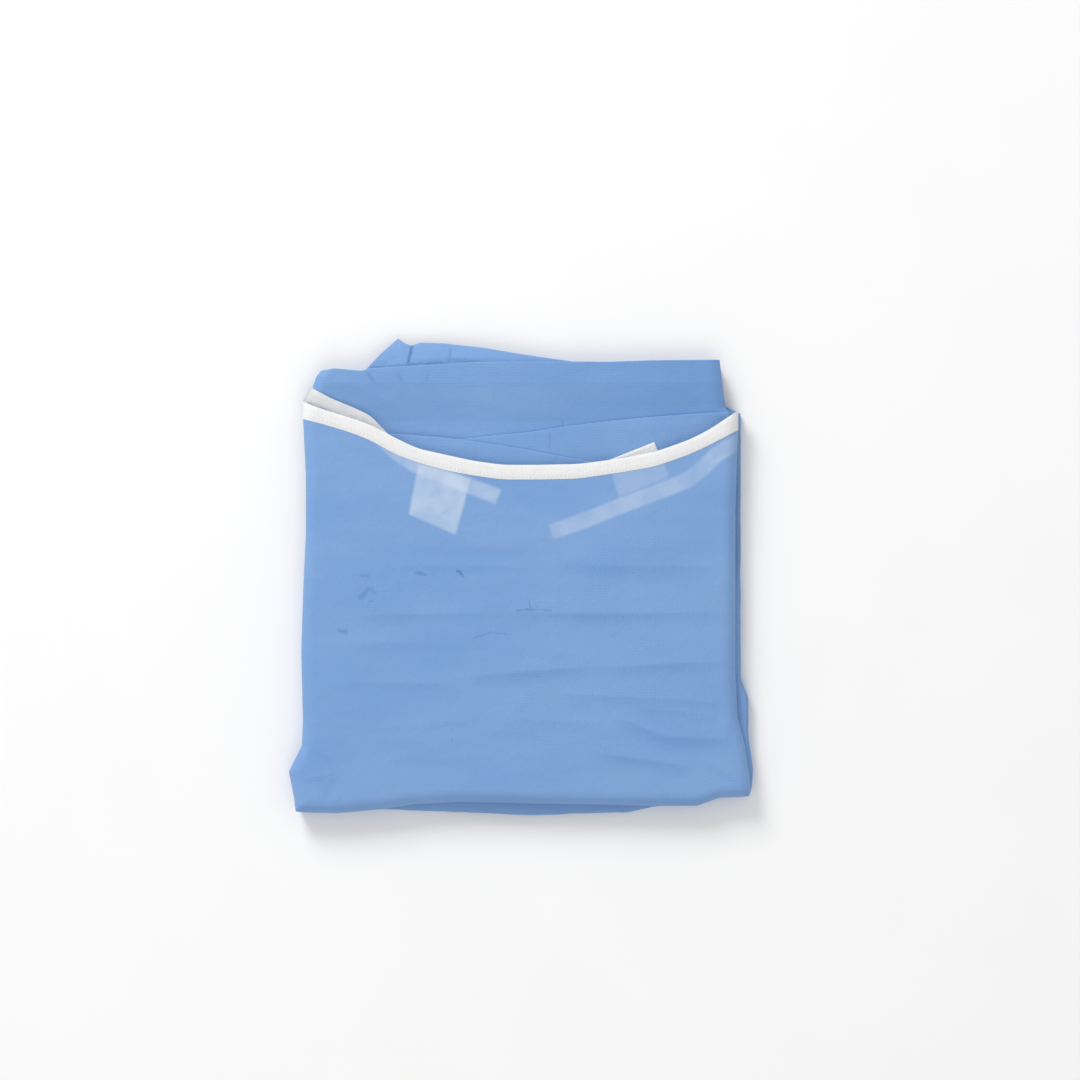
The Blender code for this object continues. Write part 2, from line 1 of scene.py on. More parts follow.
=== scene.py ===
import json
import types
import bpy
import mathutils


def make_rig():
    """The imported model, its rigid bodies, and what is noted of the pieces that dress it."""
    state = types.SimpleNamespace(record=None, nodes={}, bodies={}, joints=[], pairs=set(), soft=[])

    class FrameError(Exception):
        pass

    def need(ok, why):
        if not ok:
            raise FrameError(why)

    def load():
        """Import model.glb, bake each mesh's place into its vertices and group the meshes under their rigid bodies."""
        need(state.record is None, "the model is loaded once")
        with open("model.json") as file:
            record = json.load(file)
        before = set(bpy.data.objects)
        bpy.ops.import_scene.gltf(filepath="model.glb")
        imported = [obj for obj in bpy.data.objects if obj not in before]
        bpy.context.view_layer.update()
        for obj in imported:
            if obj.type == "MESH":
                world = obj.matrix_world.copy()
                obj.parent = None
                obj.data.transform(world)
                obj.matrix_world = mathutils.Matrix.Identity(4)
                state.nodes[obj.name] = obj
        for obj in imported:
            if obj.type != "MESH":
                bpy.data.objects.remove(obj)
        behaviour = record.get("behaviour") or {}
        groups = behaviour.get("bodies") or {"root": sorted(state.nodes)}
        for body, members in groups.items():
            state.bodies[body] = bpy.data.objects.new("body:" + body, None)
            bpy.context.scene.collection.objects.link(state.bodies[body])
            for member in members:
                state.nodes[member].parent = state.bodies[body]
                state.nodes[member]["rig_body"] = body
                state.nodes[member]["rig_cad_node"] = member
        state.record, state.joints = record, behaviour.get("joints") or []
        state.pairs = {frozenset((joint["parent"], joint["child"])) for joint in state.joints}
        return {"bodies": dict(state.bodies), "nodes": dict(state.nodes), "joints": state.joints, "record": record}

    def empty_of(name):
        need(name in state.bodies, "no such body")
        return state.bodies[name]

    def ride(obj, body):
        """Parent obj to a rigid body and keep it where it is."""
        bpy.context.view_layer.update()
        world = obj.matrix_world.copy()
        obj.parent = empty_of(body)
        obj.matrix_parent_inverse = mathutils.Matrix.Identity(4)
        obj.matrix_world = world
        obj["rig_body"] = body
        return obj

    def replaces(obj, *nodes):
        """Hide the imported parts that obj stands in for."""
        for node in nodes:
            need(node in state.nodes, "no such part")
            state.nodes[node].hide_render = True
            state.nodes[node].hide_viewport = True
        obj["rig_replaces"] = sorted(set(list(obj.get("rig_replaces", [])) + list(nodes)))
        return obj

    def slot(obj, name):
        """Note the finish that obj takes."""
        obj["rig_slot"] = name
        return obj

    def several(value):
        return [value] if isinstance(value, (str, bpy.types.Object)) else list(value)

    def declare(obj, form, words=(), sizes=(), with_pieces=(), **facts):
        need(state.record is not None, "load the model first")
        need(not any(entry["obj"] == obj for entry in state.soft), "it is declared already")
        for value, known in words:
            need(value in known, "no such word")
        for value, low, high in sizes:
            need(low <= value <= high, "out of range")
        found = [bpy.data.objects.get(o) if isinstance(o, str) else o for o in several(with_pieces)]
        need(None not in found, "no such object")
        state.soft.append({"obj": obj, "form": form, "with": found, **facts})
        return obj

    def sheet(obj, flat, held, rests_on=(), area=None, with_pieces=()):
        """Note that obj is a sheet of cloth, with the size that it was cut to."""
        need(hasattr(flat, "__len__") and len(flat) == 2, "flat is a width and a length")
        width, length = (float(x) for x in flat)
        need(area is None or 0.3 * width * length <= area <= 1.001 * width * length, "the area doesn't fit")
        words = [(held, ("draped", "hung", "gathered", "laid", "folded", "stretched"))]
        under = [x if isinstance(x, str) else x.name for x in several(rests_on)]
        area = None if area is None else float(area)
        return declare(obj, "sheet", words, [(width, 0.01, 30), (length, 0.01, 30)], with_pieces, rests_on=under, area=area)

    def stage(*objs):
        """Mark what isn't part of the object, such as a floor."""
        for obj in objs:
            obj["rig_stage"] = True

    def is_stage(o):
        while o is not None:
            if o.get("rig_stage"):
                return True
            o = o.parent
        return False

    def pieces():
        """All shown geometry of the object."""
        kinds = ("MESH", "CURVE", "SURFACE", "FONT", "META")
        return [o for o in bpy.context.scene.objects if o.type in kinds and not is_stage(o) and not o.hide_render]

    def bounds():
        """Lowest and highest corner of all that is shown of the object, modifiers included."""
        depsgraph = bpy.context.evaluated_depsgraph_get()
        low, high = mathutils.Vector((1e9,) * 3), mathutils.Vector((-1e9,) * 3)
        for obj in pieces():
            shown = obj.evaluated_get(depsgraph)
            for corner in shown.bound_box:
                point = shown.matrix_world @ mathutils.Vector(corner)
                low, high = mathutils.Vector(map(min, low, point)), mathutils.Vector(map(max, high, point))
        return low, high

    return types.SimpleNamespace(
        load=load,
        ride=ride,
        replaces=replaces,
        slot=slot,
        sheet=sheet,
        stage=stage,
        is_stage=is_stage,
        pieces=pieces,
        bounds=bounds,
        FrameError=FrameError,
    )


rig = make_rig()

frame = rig.load()
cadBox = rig.bounds()

import json
import math

import bpy
import numpy as np
from mathutils import Vector

# A disposable gown, folded flat into a bundle, with its neck towards +Y.
# Sizes are millimetres in the bundle's own table: across to the right, up to the neck.
mm = 0.001
bundleMiddle = (-0.079, 0.548)  # middle of the solids' box, where the frame has its origin

# stretches that several sides share; columns: across, up
chestRight = ((140, -134.5), (139.5, -125), (136.5, -104), (132, -86), (130.5, -60))
skirtEnd = ((130.5, 98.5), (124.5, 103), (123, 114.5), (121, 131.5))

outline = {
    # columns: across, up
    "left": ((-137, -144), (-142, -119), (-134, -103), (-133.4, -88), (-134.4, -46),
             (-133.2, -8), (-131.6, 26), (-131.6, 62), (-133.3, 96), (-132.5, 106.5),
             (-127.6, 115.4), (-126.1, 119.4), (-125.2, 122.2), (-122.4, 125.6)),
    "right": ((141, -134.5), (142, -118), (139, -95), (139, -74), (134.5, -63),
              (134.5, 99.5), (133.3, 101.2), (126, 102.4), (123, 114.5), (121, 131.5)),
    "skirtRight": ((134.5, -63), (134.5, 96), *skirtEnd),
    # the front ends inside the bundle's outline, where the folds under it look out
    "frontRight": (*chestRight, (130.5, 40), (132, 89), (132, 104)),
    "foldedRight": (*chestRight, *skirtEnd),
    "frontBottom": ((-137, -144), (-112.5, -144.5), (-85.5, -142), (-66, -139),
                    (-37, -137.5), (5, -138.5), (63, -139.5), (80, -140), (107, -140),
                    (121, -135), (141, -134.5)),
    "bottom": ((-137, -144), (-112.5, -144.5), (-85.5, -143), (-37, -144.9), (5, -146.4),
               (63, -145.2), (80, -141.4), (107, -140), (121, -135), (141, -134.5)),
    "top": ((-122.4, 125.6), (-114, 127), (-97.5, 125.5), (-92.5, 127), (-67, 128.5),
            (-48.5, 129.5), (-25.5, 131), (23.5, 131.2), (55, 131), (79.5, 131.9),
            (104, 132.1), (121, 132.3)),
    # columns: across, seam up, free edge up
    "neck": ((-133.5, 96, 106.5), (-120, 92.5, 101.5), (-103.5, 87.5, 96.5), (-91, 82.5, 92),
             (-77, 74.5, 84.5), (-63.5, 69.5, 78), (-45.5, 64.5, 74), (-29.5, 61.5, 70.5),
             (-11.5, 59, 68), (10.5, 59, 68), (34.5, 59.5, 68.5), (61.5, 63.5, 72),
             (81.5, 67, 76), (101.5, 74, 83), (114.5, 80, 89.5), (131.5, 89, 101),
             (134.5, 90.5, 102.5)),
    # columns: up, height of the hidden folds
    "foldedHeight": ((-150, 16.5), (-12, 16.5), (8, 7.5), (95, 7.5), (118, 10.5),
                     (140, 10.5)),
}

stack = {
    "top": 18.0,  # upper face of the front
    "ply": 1.2,  # a layer of two plies, fold included
    "gap": 0.3,
    "sagReach": 8.0,  # loose layers sink towards the side folds
    "sagDepth": 3.0,
    "settle": 0.4,  # height of the slow waves that all the layers share
    "settleCell": 34.0,
    "cornerSharpness": 0.7,
    "passes": 8,  # sides and edges depend on each other, so they are worked out again
}
stack["pitch"] = stack["ply"] + stack["gap"]
stack["hookTape"] = stack["top"] - stack["ply"] - stack["pitch"]
stack["leftBack"] = stack["hookTape"] - stack["pitch"]
stack["rightBack"] = stack["leftBack"] - stack["pitch"]

palette = {
    "blue": (0.185, 0.345, 0.640, 1.0),
    # darker fibres and bond points, and the painted shade of creases and ply grooves
    "deepBlue": (0.115, 0.265, 0.560, 1.0),
    "paleBlue": (0.235, 0.400, 0.690, 1.0),
    # painted shadow in tucks and crumples
    "tuckBlue": (0.070, 0.180, 0.410, 1.0),
    "shownThrough": (0.600, 0.690, 0.820, 1.0),
    "white": (0.870, 0.870, 0.875, 1.0),
    "shadedWhite": (0.745, 0.750, 0.765, 1.0),
    # the back bindings: the same white binding, painted in shade
    "innerWhite": (0.700, 0.708, 0.730, 1.0),
    "innerShaded": (0.600, 0.610, 0.640, 1.0),
    "tapeWhite": (0.770, 0.775, 0.780, 1.0),
    "floor": (0.930, 0.930, 0.930, 1.0),
    "floorPale": (0.940, 0.940, 0.940, 1.0),
}


# Curves and fields

def lookUp(table, key, column=1, by=0, soften=0.0):
    # between the rows in straight lines, or averaged over a short reach so that corners are soft
    rows = np.array(table, float)
    rows = rows[np.argsort(rows[:, by])]
    key = np.clip(np.asarray(key, float), rows[0, by], rows[-1, by])
    if not soften:
        return np.interp(key, rows[:, by], rows[:, column])
    first, last = rows[1] - rows[0], rows[-1] - rows[-2]
    before = rows[0] - first * soften / first[by]
    after = rows[-1] + last * soften / last[by]
    rows = np.vstack((before, rows, after))
    total = 0.0
    offsets = np.linspace(-1, 1, 11)[1:-1]
    weights = np.cos(offsets * math.pi / 2) ** 2
    for offset, weight in zip(offsets, weights / weights.sum()):
        total = total + weight * np.interp(key + offset * soften, rows[:, by], rows[:, column])
    return total


def sideOf(name, up):
    return lookUp(outline[name], up, 0, 1, 1.5)


def edgeOf(name, column=1, extra=0.0, soften=2.0):
    return lambda across: lookUp(outline[name], across, column, 0, soften) + extra


def alongLine(table, count, soften=0.0):
    # evenly spaced points on a line through the rows
    rows = np.array(table, float)[:, :2]
    reached = np.concatenate(([0.0], np.cumsum(np.hypot(*np.diff(rows, axis=0).T))))
    wanted = np.linspace(0.0, reached[-1], count + 1)
    keyed = np.column_stack((reached, rows))
    return np.column_stack([lookUp(keyed, wanted, column, 0, soften) for column in (1, 2)])


def softNoise(across, up, cell, seed, count=64, shifts=(31.7, 17.3)):
    # smooth waves between -1 and 1, the same each run
    heights = np.random.default_rng(seed).uniform(-1, 1, (count, count))
    u, v = (np.asarray(place, float) / cell + shift for place, shift in zip((across, up), shifts))
    i, j = np.floor(u).astype(int), np.floor(v).astype(int)
    s, t = u - i, v - j
    s, t = s * s * (3 - 2 * s), t * t * (3 - 2 * t)
    low, high = (heights[i % count, row % count] * (1 - s) + heights[(i + 1) % count, row % count] * s
                 for row in (j, j + 1))
    return low * (1 - t) + high * t


def settle(across, up, fineShare=0.3, fineness=2.3, seeds=(3, 5)):
    # slow waves with finer ones on them
    cells = stack["settleCell"], stack["settleCell"] / fineness
    slow, fine = (softNoise(across, up, cell, seed) for cell, seed in zip(cells, seeds))
    return stack["settle"] * ((1 - fineShare) * slow + fineShare * fine)


def sag(across, up):
    left, right = sideOf("left", up), sideOf("skirtRight", up)
    reach = np.clip(np.minimum(across - left, right - across) / stack["sagReach"], 0, 1)
    return stack["sagDepth"] * (1 - reach) ** 2


def foldedHeight(up):
    return np.interp(up, *np.array(outline["foldedHeight"]).T)


def looseLayer(plies):
    # middle height of a layer that many plies over the hidden folds
    def height(across, up):
        lift = stack["gap"] + plies * stack["pitch"] + stack["ply"] / 2
        return foldedHeight(up) + lift - sag(across, up) + settle(across, up)
    return height


def levelLayer(level):
    def height(across, up):
        return level + stack["ply"] / 2 - sag(across, up) + settle(across, up)
    return height


def creaseField(rows, across, up, seed, sharpness=2.0, shadeSpread=(0.6, 1.0), bend=0.8,
                straightness=40.0, uneven=0.2, ending=0.6, shadeEdge=2.6,
                waves=((37.0, 40.0), (16.0, 70.0))):
    # each row's line strays, the less the shorter it is, comes and goes, and fades at its ends
    height, shade = np.zeros_like(across), np.zeros_like(across)
    for k, (ax, ay, bx, by, above, below, crest, dark) in enumerate(rows):
        length = math.hypot(bx - ax, by - ay)
        ex, ey = (bx - ax) / length, (by - ay) / length
        along = (across - ax) * ex + (up - ay) * ey
        aside = (up - ay) * ex - (across - ax) * ey
        stray, swell = (softNoise(along, along * 0 + apart * k, cell, seed) for cell, apart in waves)
        aside = aside - min(bend, length / straightness) * stray
        fade = np.sin(math.pi * np.clip(along / length, 0, 1)) ** ending
        fade = fade * (1 - uneven + uneven * swell)
        away = np.abs(aside / np.where(aside > 0, above, below))
        height += crest * fade * np.exp(-away ** sharpness)
        # painted shade beside each crease, crisp on one side and fading on the other, where the cloth turns from the
        # light
        shade += dark * fade * np.exp(-(away / np.where(aside > 0, *shadeSpread)) ** shadeEdge)
    return height, shade


def insideDistance(across, up, polygon):
    # millimetres inside a closed outline, negative outside
    corners = np.array(polygon, float)
    nearest = np.full(across.shape, 1e9)
    inside = np.zeros(across.shape, bool)
    for (ax, ay), (bx, by) in zip(corners, np.roll(corners, -1, axis=0)):
        ex, ey = bx - ax, by - ay
        share = np.clip(((across - ax) * ex + (up - ay) * ey) / (ex * ex + ey * ey), 0, 1)
        nearest = np.minimum(nearest, np.hypot(across - ax - share * ex, up - ay - share * ey))
        if ay != by:
            crossing = ax + (up - ay) * ex / ey
            inside ^= ((ay > up) != (by > up)) & (across < crossing)
    return np.where(inside, nearest, -nearest)


# Grids that roll over the bundle's edges

def gridSteps(count, ringsBefore, ringsAfter):
    before = [(0.0, ring, -1) for ring in range(ringsBefore, 0, -1)]
    flat = [(step / count, 0, 0) for step in range(count + 1)]
    after = [(1.0, ring, 1) for ring in range(1, ringsAfter + 1)]
    return before + flat + after


def rolledSteps(settings, rings, before, after):
    return gridSteps(settings["columns"], rings, rings), gridSteps(settings["rows"], before, after)


def rolledGrid(columns, rows, rightSide, lowEdge, highEdge, insets, reachOf, heightOf):
    shareAcross, ringAcross, wayAcross = (np.array(v, float)[None, :] for v in zip(*columns))
    shareUp, ringUp, wayUp = (np.array(v, float)[:, None] for v in zip(*rows))
    sideInset, lowInset, highInset = insets
    ring = np.maximum(ringAcross, ringUp).astype(int)
    turn = math.pi / 4 * np.minimum(ringAcross, ringUp) / np.maximum(ring, 1)
    sharp = stack["cornerSharpness"]
    longer, shorter = np.cos(turn) ** (1 - sharp), np.sin(turn) / np.cos(turn) ** sharp
    sideways = ringAcross >= ringUp
    across = np.zeros(ring.shape)
    baseUp = np.zeros(ring.shape)
    for _ in range(stack["passes"]):
        left, right = sideOf("left", baseUp) + sideInset, sideOf(rightSide, baseUp) - sideInset
        baseAcross = left + (right - left) * shareAcross
        reach = reachOf(ring, baseAcross, baseUp)
        across = baseAcross + wayAcross * np.where(sideways, longer, shorter) * reach * (ring > 0)
        key = np.where(ringUp > 0, baseAcross, across)
        low, high = lowEdge(key) + lowInset, highEdge(key) - highInset
        baseUp = low + (high - low) * shareUp
    up = baseUp + wayUp * np.where(sideways, shorter, longer) * reach * (ring > 0)
    return np.stack((across, up, heightOf(ring, baseAcross, baseUp, across, up)), axis=-1)


def ringTable(values):
    values = np.array(values, float)
    return lambda ring, across, up: values[ring]


# Meshes

def surface(across, up, height):
    return np.stack((across, up, height), axis=-1)


def ruled(low, high, share):
    # across and up of a grid between two lines
    return low[:, 0] + (high - low)[:, 0] * share, low[:, 1] + (high - low)[:, 1] * share


def inFrame(points):
    # from millimetres on the table to the frame's metres
    return ((np.asarray(points) - (*bundleMiddle, 0.0)) * mm).tolist()


def addObject(name, data):
    made = bpy.data.objects.new(name, data)
    bpy.context.scene.collection.objects.link(made)
    return made


def gridQuads(rows, columns, start, flipped):
    j, i = np.mgrid[0:rows - 1, 0:columns - 1]
    corner = (start + j * columns + i).ravel()
    quads = np.column_stack((corner, corner + 1, corner + columns + 1, corner + columns))
    return quads[:, ::-1] if flipped else quads


def rimOf(rows, columns):
    grid = np.arange(rows * columns).reshape(rows, columns)
    return np.concatenate((grid[0, :-1], grid[:-1, -1], grid[-1, :0:-1], grid[:0:-1, 0]))


def makePiece(name, points, faces, material, slotName, sharpAngle=50.0):
    mesh = bpy.data.meshes.new(name)
    mesh.from_pydata(inFrame(points), [], [list(map(int, face)) for face in faces])
    mesh.polygons.foreach_set("use_smooth", [True] * len(mesh.polygons))
    mesh.update()
    mesh.set_sharp_from_angle(angle=math.radians(sharpAngle))
    mesh.materials.append(material)
    piece = addObject(name, mesh)
    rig.ride(piece, "root")
    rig.slot(piece, slotName)
    return piece


def laySheet(piece, node, settings):
    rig.replaces(piece, node)
    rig.sheet(piece, flat=settings["flat"], held="folded", rests_on=settings.get("restsOn", ()),
             area=settings.get("area"))


def addField(piece, name, values):
    field = piece.data.attributes.new(name, "FLOAT", "POINT")
    field.data.foreach_set("value", np.asarray(values, np.float32).ravel())


def makeWall(name, under, over, material, slotName, fields=None):
    # a closed wall between two grids with the same steps; fields are for both faces
    rows, columns = under.shape[:2]
    count = rows * columns
    rim = rimOf(rows, columns)
    side = np.column_stack((rim, np.roll(rim, -1), np.roll(rim, -1) + count, rim + count))
    quads = gridQuads(rows, columns, 0, True), gridQuads(rows, columns, count, False)
    points = np.concatenate((under.reshape(-1, 3), over.reshape(-1, 3)))
    piece = makePiece(name, points, np.concatenate((*quads, side)), material, slotName)
    for field, values in (fields or {}).items():
        addField(piece, field, np.concatenate((values.ravel(), values.ravel())))
    return piece


def addStripMap(piece, along, share):
    # a UV map in millimetres, so that a knit follows the strip
    aside = share * backNeck["width"] + along * 0
    both = np.stack([np.concatenate((v.ravel(), v.ravel())) for v in (along, aside)], axis=-1)
    uv = piece.data.uv_layers.new(name="strip")
    corners = np.zeros(len(piece.data.loops), int)
    piece.data.loops.foreach_get("vertex_index", corners)
    uv.data.foreach_set("uv", both[corners].astype(np.float32).ravel())


# Materials

def addNode(tree, kind, inputs=None, **settings):
    node = tree.nodes.new(kind)
    for key, value in settings.items():
        setattr(node, key, value)
    for key, value in (inputs or {}).items():
        if isinstance(value, bpy.types.NodeSocket):
            tree.links.new(value, node.inputs[key])
        else:
            node.inputs[key].default_value = value
    return node


def mixColours(tree, share, first, second):
    mix = addNode(tree, "ShaderNodeMix", {0: share, 6: first, 7: second}, data_type="RGBA")
    return mix.outputs[2]


def mathNode(tree, operation, *values):
    return addNode(tree, "ShaderNodeMath", dict(enumerate(values)), operation=operation).outputs[0]


def vectorMath(tree, operation, inputs, output=0):
    return addNode(tree, "ShaderNodeVectorMath", inputs, operation=operation).outputs[output]


def attribute(tree, name):
    return addNode(tree, "ShaderNodeAttribute", attribute_name=name).outputs["Fac"]


def ramp(tree, value, low, high, toLow=0.0, toHigh=1.0):
    inputs = {"Value": value, "From Min": low, "From Max": high, "To Min": toLow, "To Max": toHigh}
    return addNode(tree, "ShaderNodeMapRange", inputs, interpolation_type="SMOOTHSTEP").outputs[0]


def newMaterial(name, finish):
    material = bpy.data.materials.new(name)
    material.use_nodes = True
    tree = material.node_tree
    shader = tree.nodes["Principled BSDF"]
    for socket, value in (("Roughness", "roughness"), ("Specular IOR Level", "specular"),
                          ("Sheen Weight", "sheen")):
        shader.inputs[socket].default_value = finish[value]
    place = addNode(tree, "ShaderNodeTexCoord").outputs["Object"]
    place = addNode(tree, "ShaderNodeMapping", {"Vector": place, "Scale": (1 / mm, 1 / mm, 1 / mm)})
    return material, tree, shader, place.outputs[0]


def noise(tree, place, scale, detail=4.0, roughness=0.6, distortion=0.0):
    inputs = {"Vector": place, "Scale": scale, "Detail": detail, "Roughness": roughness,
              "Distortion": distortion}
    return addNode(tree, "ShaderNodeTexNoise", inputs).outputs["Fac"]


def dress(tree, shader, colour, height, finish):
    bump = addNode(tree, "ShaderNodeBump", {"Height": height, "Distance": finish["bumpDepth"],
                                            "Strength": finish["bumpStrength"]})
    tree.links.new(colour, shader.inputs["Base Color"])
    tree.links.new(bump.outputs[0], shader.inputs["Normal"])


# short crumples and tucks, finer than the mesh, with painted shade in them and a painted shadow along the skirt's top
# edge
crumples = {
    # columns: from across, from up, to across, to up, half width, painted shade
    "chest": (
        (5.1, -14, 5.3, -20.4, 0.8, 0.45), (-2.5, -20.6, 8, -20.1, 0.95, 0.55),
        (8, -20.1, 18, -20.7, 0.8, 0.35), (-28.4, -37.4, -18.5, -34.4, 1, 0.42),
        (-18.5, -34.4, -10, -34.9, 1, 0.36), (-97.5, 0.6, -93, 0, 2, 0.36),
        (-97.5, -12.5, -93, -8, 3, 0.46), (-91, -8, -89.6, -9.6, 2.2, 0.34),
        (-74.5, -5.5, -73.5, -8.5, 2.4, 0.16), (-63.2, 2, -58.2, 1, 1.9, 0.56),
        (-38.4, 3, -35.4, 0, 1.5, 0.75), (-111.2, -33.2, -106.6, -33.6, 2.4, 0.5),
        (-42.8, -98.6, -42.2, -100, 1.1, 0.35), (-92, -15, -89.8, -15.2, 1, 0.35),
        (61.6, -23.6, 62.6, -26.4, 0.9, 0.25),
    ),
    "inner": (
        (-66.4, 142.6, -67.4, 136.6, 1.9, 1), (-67.4, 136.6, -68.6, 130.6, 1.4, 0.8),
        (-68.6, 129.3, -49, 130.2, 1.2, 0.7), (-93.5, 127.4, -68.6, 129.3, 1, 0.34),
        (-49, 130.2, -26, 131.7, 1, 0.28), (-43.2, 138.5, -43.6, 131.6, 2, 0.26),
        (-43.6, 131.7, -35, 132.1, 2, 0.26), (-94, 124, -90.4, 119.2, 2.2, 0.34),
        (-74.8, 122.6, -73.4, 119, 3, 0.24), (-57.6, 121.8, -57.4, 120, 1.8, 0.16),
        (17.5, 86.4, 17.2, 77, 1, 0.34), (25.3, 95.6, 25.2, 91.2, 0.8, 0.36),
    ),
    "wander": 2.2,  # how uneven their edges are
    "wanderScale": 0.30, "wanderDetail": 3.0,
    # here and there they pale; scale and detail of the noise, then its limits and shares
    "broken": (0.8, 3.0),
    "brokenLimits": (0.35, 0.60, 0.50, 1.0),
    "dent": 3.5,  # depth over the height of the weave
}


def crumpleShade(tree, place, rows):
    # how much painted shade each short line lays on the cloth round it, seen from above
    wander, half = crumples["wander"], crumples["wander"] / 2
    waves = addNode(tree, "ShaderNodeTexNoise", {"Vector": place, "Scale": crumples["wanderScale"],
                                                 "Detail": crumples["wanderDetail"]}).outputs["Color"]
    flat = vectorMath(tree, "MULTIPLY", {0: place, 1: (1.0, 1.0, 0.0)})
    flat = vectorMath(tree, "MULTIPLY_ADD", {0: waves, 1: (wander, wander, 0.0), 2: flat})
    total = 0.0
    for ax, ay, bx, by, width, dark in rows:
        start = (ax - bundleMiddle[0] + half, ay - bundleMiddle[1] + half, 0.0)
        line = Vector((bx - ax, by - ay, 0.0))
        away = vectorMath(tree, "SUBTRACT", {0: flat, 1: start})
        share = vectorMath(tree, "DOT_PRODUCT", {0: away, 1: line / line.length_squared}, 1)
        share = addNode(tree, "ShaderNodeClamp", {"Value": share}).outputs[0]
        nearest = vectorMath(tree, "SCALE", {0: line, "Scale": share})
        gap = vectorMath(tree, "DISTANCE", {0: away, 1: nearest}, 1)
        total = mathNode(tree, "MAXIMUM", total, ramp(tree, gap, 0.0, width, dark, 0.0))
    broken = ramp(tree, noise(tree, place, *crumples["broken"]), *crumples["brokenLimits"])
    return mathNode(tree, "MULTIPLY", total, broken)


clothFinish = {
    "roughness": 0.68, "specular": 0.32, "sheen": 0.12,
    "bondScale": 0.60, "bondRandomness": 0.22,  # bond points a millimetre
    "stretch": (0.45, 1.5, 1.0),
    # noises; columns: scale, detail, roughness, distortion
    "fibres": (1.6, 6.0, 0.65, 0.6),
    "clouds": (0.030, 2.0, 0.45),
    "patches": (0.075, 2.0, 0.5),  # how the contact between the layers comes and goes
    "crumple": (0.085, 3.0, 0.5, 0.4),
    # where each begins and ends, and its shares there
    "bondLimits": (0.16, 0.34, 1.0, 0.0),
    "cloudLimits": (0.30, 0.70),
    "fibreLimits": (0.40, 0.72),
    "patchLimits": (0.30, 0.70, 0.72, 1.12),
    "bondShade": 0.16, "cloudShade": 0.45, "fibreShade": 0.30, "creaseShade": 0.74,
    # share of white that shows through the front over each piece below it
    "shown": {"bindingBelow": 0.36, "loopBelow": 0.24, "hookBelow": 0.55},
    "edgeBlur": 1.3,  # softness of a shape that shows through
    "fibreHeight": 0.8,
    "crumpleHeight": 6.0,  # over the height of the weave
    "bumpDepth": 0.00012, "bumpStrength": 0.7,
}


def clothMaterial(name, rows, showsThrough):
    finish = clothFinish
    material, tree, shader, place = newMaterial(name, finish)
    fibres = noise(tree, place, *finish["fibres"])
    stretched = addNode(tree, "ShaderNodeMapping", {"Vector": place, "Scale": finish["stretch"]})
    clouds = noise(tree, stretched.outputs[0], *finish["clouds"])
    cells = addNode(tree, "ShaderNodeTexVoronoi", {"Vector": place, "Scale": finish["bondScale"],
                                                   "Randomness": finish["bondRandomness"]})
    bonds = ramp(tree, cells.outputs["Distance"], *finish["bondLimits"])
    # clouds and fibres are the cloth's uneven tone and bonds its pattern; the crease share is painted shade
    colour = palette["blue"]
    for share, shade, second in (
            (ramp(tree, clouds, *finish["cloudLimits"]), "cloudShade", "paleBlue"),
            (ramp(tree, fibres, *finish["fibreLimits"]), "fibreShade", "deepBlue"),
            (bonds, "bondShade", "deepBlue"), (attribute(tree, "crease"), "creaseShade", "deepBlue")):
        share = mathNode(tree, "MULTIPLY", share, finish[shade])
        colour = mixColours(tree, mathNode(tree, "MINIMUM", share, 1.0), colour, palette[second])
    if showsThrough:
        patches = ramp(tree, noise(tree, place, *finish["patches"]), *finish["patchLimits"])
        reached = mathNode(tree, "MULTIPLY", patches, attribute(tree, "contact"))
        blur = finish["edgeBlur"]
        for field, amount in finish["shown"].items():
            share = ramp(tree, attribute(tree, field), -blur, blur, 0.0, amount)
            share = mathNode(tree, "MULTIPLY", share, reached)
            colour = mixColours(tree, share, colour, palette["shownThrough"])
    # painted shade in the crumples, which also dents the relief
    crumpleShadeAndDent = crumpleShade(tree, place, rows)
    colour = mixColours(tree, mathNode(tree, "MINIMUM", crumpleShadeAndDent, 1.0), colour, palette["tuckBlue"])
    height = mathNode(tree, "MULTIPLY", fibres, finish["fibreHeight"])
    height = mathNode(tree, "SUBTRACT", height, bonds)
    crumple = noise(tree, place, *finish["crumple"])
    height = mathNode(tree, "MULTIPLY_ADD", crumple, finish["crumpleHeight"], height)
    height = mathNode(tree, "MULTIPLY_ADD", crumpleShadeAndDent, -crumples["dent"], height)
    dress(tree, shader, colour, height, finish)
    return material


bindingFinish = {
    "roughness": 0.82, "specular": 0.22, "sheen": 0.20,
    "periods": (0.85, 1.10),  # ribs along the strip, courses across it
    "courseShare": 0.4,
    # noises; columns: scale, detail
    "fuzz": (1.8, 5.0),
    "puckers": (0.16, 3.0),
    "valleyLimits": (0.3, -1.3),
    "fuzzLimits": (0.45, 0.75),
    "puckerLimits": (0.42, 0.62, 0.0),
    "valleyShade": 0.34, "fuzzShade": 0.25, "fuzzHeight": 1.6, "puckerHeight": -4.0,
    "bumpDepth": 0.00010, "bumpStrength": 0.6,
}


